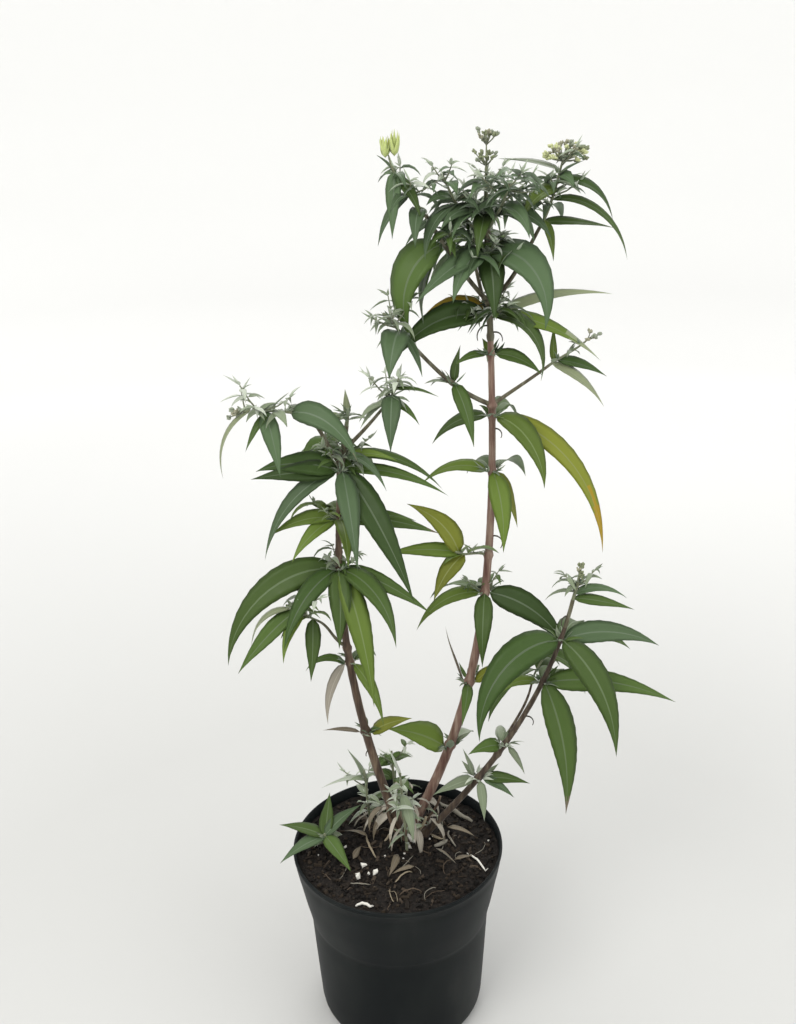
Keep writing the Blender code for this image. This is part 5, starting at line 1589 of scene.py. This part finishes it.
def draw_dead_leaves():
    rng = random.Random(DEAD_SEED)
    build = Build()
    for (x, y), height, heading, rise, fall, length, width in DEAD_LEAVES:
        root = Vector((x, y, ground(x, y) + height))
        leaf = Leaf(0, heading, rise, fall, length, width, either_way(rng, DEAD_TURN))
        draw_leaf(build, root, leaf, rng.choice(DEAD_TINTS), rng)
    for number in range(WITHERED):
        outward = GOLDEN_TURN * number
        place = Vector((*PLANT_FOOT, 0)) + lean(outward, 0) * rng.uniform(*WITHERED_REACH)
        place.z = ground(place.x, place.y) + rng.uniform(*WITHERED_HEIGHT)
        leaf = Leaf(0, outward + either_way(rng, DEAD_TURN), rng.uniform(*WITHERED_RISE),
                    rng.uniform(*WITHERED_FALL), rng.uniform(*WITHERED_LENGTH),
                    rng.uniform(*WITHERED_WIDTH), either_way(rng, WITHERED_TURN))
        draw_leaf(build, place, leaf, rng.choice(WITHERED_TINTS), rng)
    build.piece("dead_leaves", "foliage", ["soil"])


# Old stalks cut off at the foot: foot, tip and radius
STUBS = (
    ((0.000, 0.004), (-0.008, 0.002, 0.205), 0.0019), ((0.016, 0.004), (0.026, -0.002, 0.196), 0.0015),
    ((0.024, 0.018), (0.040, 0.022, 0.200), 0.0014), ((0.004, 0.022), (0.000, 0.028, 0.212), 0.0016),
    ((0.010, -0.002), (0.008, -0.012, 0.190), 0.0013),
)
STUB_LEANS = ((0, 85), (0, 80))
STUB_DEPTH = 0.002
STUB_TAPER = 0.7
STUB_STEPS = 12
STUB_SEED = 40


def draw_stubs():
    build = Build()
    for seed, (foot, tip, radius) in enumerate(STUBS):
        start = Vector((*foot, ground(*foot) - STUB_DEPTH))
        route = Route(start, tip, *STUB_LEANS, radius, radius * STUB_TAPER, STUB_STEPS)
        bark_tube(build, route, (), "straw" if seed % 2 else "bark_left", STUB_SEED + seed)
    build.piece("old_stubs", "stem_bark", ["soil"])


# Studio

CAMERA_PLACE = (0.008, -0.747, 0.7555)
CAMERA_PITCH = math.radians(19.8)
CAMERA_ROLL = math.radians(-1.5)
CAMERA_SENSOR = 36.0
CAMERA_LENS = 34.875
FLOOR_OUTLINE = ((0, 0), (0, 2.2), (0.06, 2.8), (0.25, 3.2), (0.6, 3.4), (1.0, 3.5), (1.6, 3.5))
FLOOR_SIDES = 96
FLOOR_SHINE = (0.9, 0.2)
FLOOR_GRAIN = (60, 3)
FLOOR_BUMP = (0.05, 0.0005)
# Painted shade on the floor: its colour near the plant is darker and grows to the far colour between these
# two distances
FLOOR_SHADED_NEAR = (0.56, 0.56, 0.545)
FLOOR_FAR = (0.90, 0.90, 0.89)
FLOOR_SHADE_FADE_START = 0.5
FLOOR_SHADE_FADE_END = 2.6
WORLD_COLOUR = (1.0, 1.0, 0.99, 1)
WORLD_STRENGTH = 1.0
LIGHT_TARGET = (0.02, 0, 0.4)
# Name, place, size in metres, power in watts and colour
LIGHTS = (
    ("key", (-1.1, -1.3, 2.0), 1.2, 26, (1.0, 0.99, 0.97)),
    ("fill", (1.5, -0.9, 1.2), 1.4, 9, (0.97, 0.98, 1.0)),
    ("rim", (0.4, 1.6, 1.8), 1.2, 12, (1.0, 1.0, 1.0)),
)


def floor_material():
    """Pale floor colour with painted shade: darker near the plant and paler with its distance from it."""
    made, shader = shader_material("floor_with_painted_shade", FLOOR_SHADED_NEAR, *FLOOR_SHINE)
    add_bump(made, shader, linked_noise(made, *FLOOR_GRAIN), *FLOOR_BUMP)
    nodes = made.node_tree.nodes
    place = nodes.new("ShaderNodeTexCoord")
    distance = nodes.new("ShaderNodeVectorMath")
    distance.operation = "LENGTH"
    spread = nodes.new("ShaderNodeMapRange")
    spread.inputs["From Min"].default_value = FLOOR_SHADE_FADE_START
    spread.inputs["From Max"].default_value = FLOOR_SHADE_FADE_END
    made.node_tree.links.new(place.outputs["Object"], distance.inputs[0])
    made.node_tree.links.new(distance.outputs["Value"], spread.inputs["Value"])
    # Painted shade: darker near the plant, paler towards the backdrop
    add_ramp(made, shader, spread, ((0.0, FLOOR_SHADED_NEAR), (1.0, FLOOR_FAR)))
    return made


def draw_floor():
    """A pale floor that curves up all round, as a plain studio backdrop."""
    mesh = bpy.data.meshes.new("floor")
    points, faces = turned(FLOOR_OUTLINE, FLOOR_SIDES)
    mesh.from_pydata(points, [], faces)
    mesh.shade_smooth()
    mesh.materials.append(floor_material())
    floor = placed_object("floor", mesh)


def aimed(place, target):
    """A matrix at a place whose -Z looks at the target."""
    back = (Vector(place) - Vector(target)).normalized()
    right = Vector((0, 0, 1)).cross(back).normalized()
    made = Matrix((right, back.cross(right), back)).transposed().to_4x4()
    made.translation = place
    return made


def add_light(name, place, size, energy, colour):
    light = bpy.data.lights.new(name, "AREA")
    light.size = size
    light.energy = energy
    light.color = colour
    made = placed_object(name, light)
    made.matrix_world = aimed(place, LIGHT_TARGET)
    made.visible_camera = False


def add_lights():
    world = bpy.data.worlds.new("studio")
    bpy.context.scene.world = world
    world.use_nodes = True
    world.node_tree.nodes["Background"].inputs["Color"].default_value = WORLD_COLOUR
    world.node_tree.nodes["Background"].inputs["Strength"].default_value = WORLD_STRENGTH
    for light in LIGHTS:
        add_light(*light)


def add_camera():
    data = bpy.data.cameras.new("photo_camera")
    data.sensor_fit = "VERTICAL"
    data.sensor_height = CAMERA_SENSOR
    data.lens = CAMERA_LENS
    camera = placed_object("photo_camera", data)
    ahead = Vector((0, math.cos(CAMERA_PITCH), -math.sin(CAMERA_PITCH)))
    above = Vector((0, math.sin(CAMERA_PITCH), math.cos(CAMERA_PITCH)))
    right = math.cos(CAMERA_ROLL) * Vector((1, 0, 0)) + math.sin(CAMERA_ROLL) * above
    above = math.cos(CAMERA_ROLL) * above - math.sin(CAMERA_ROLL) * Vector((1, 0, 0))
    stance = Matrix((right, above, -ahead)).transposed().to_4x4()
    stance.translation = CAMERA_PLACE
    camera.matrix_world = stance
    bpy.context.scene.camera = camera


def limb_routes():
    routes = {name: stem_route(stem) for name, stem in STEMS.items()}
    for name, bough in BOUGHS.items():
        routes[name] = side_route(bough, routes, BOUGH_STEPS)
    for name, shoot in SHOOTS.items():
        routes[name] = side_route(shoot, routes, SHOOT_STEPS)
    return routes


make_materials()
limbs = limb_routes()
draw_pot()
draw_soil()
draw_crumbs()
draw_straw()
draw_dead_leaves()
draw_stubs()
draw_stems(limbs)
draw_boughs(limbs)
draw_foliage(limbs)
draw_floor()
add_lights()
add_camera()
bpy.context.scene.view_settings.view_transform = "Standard"
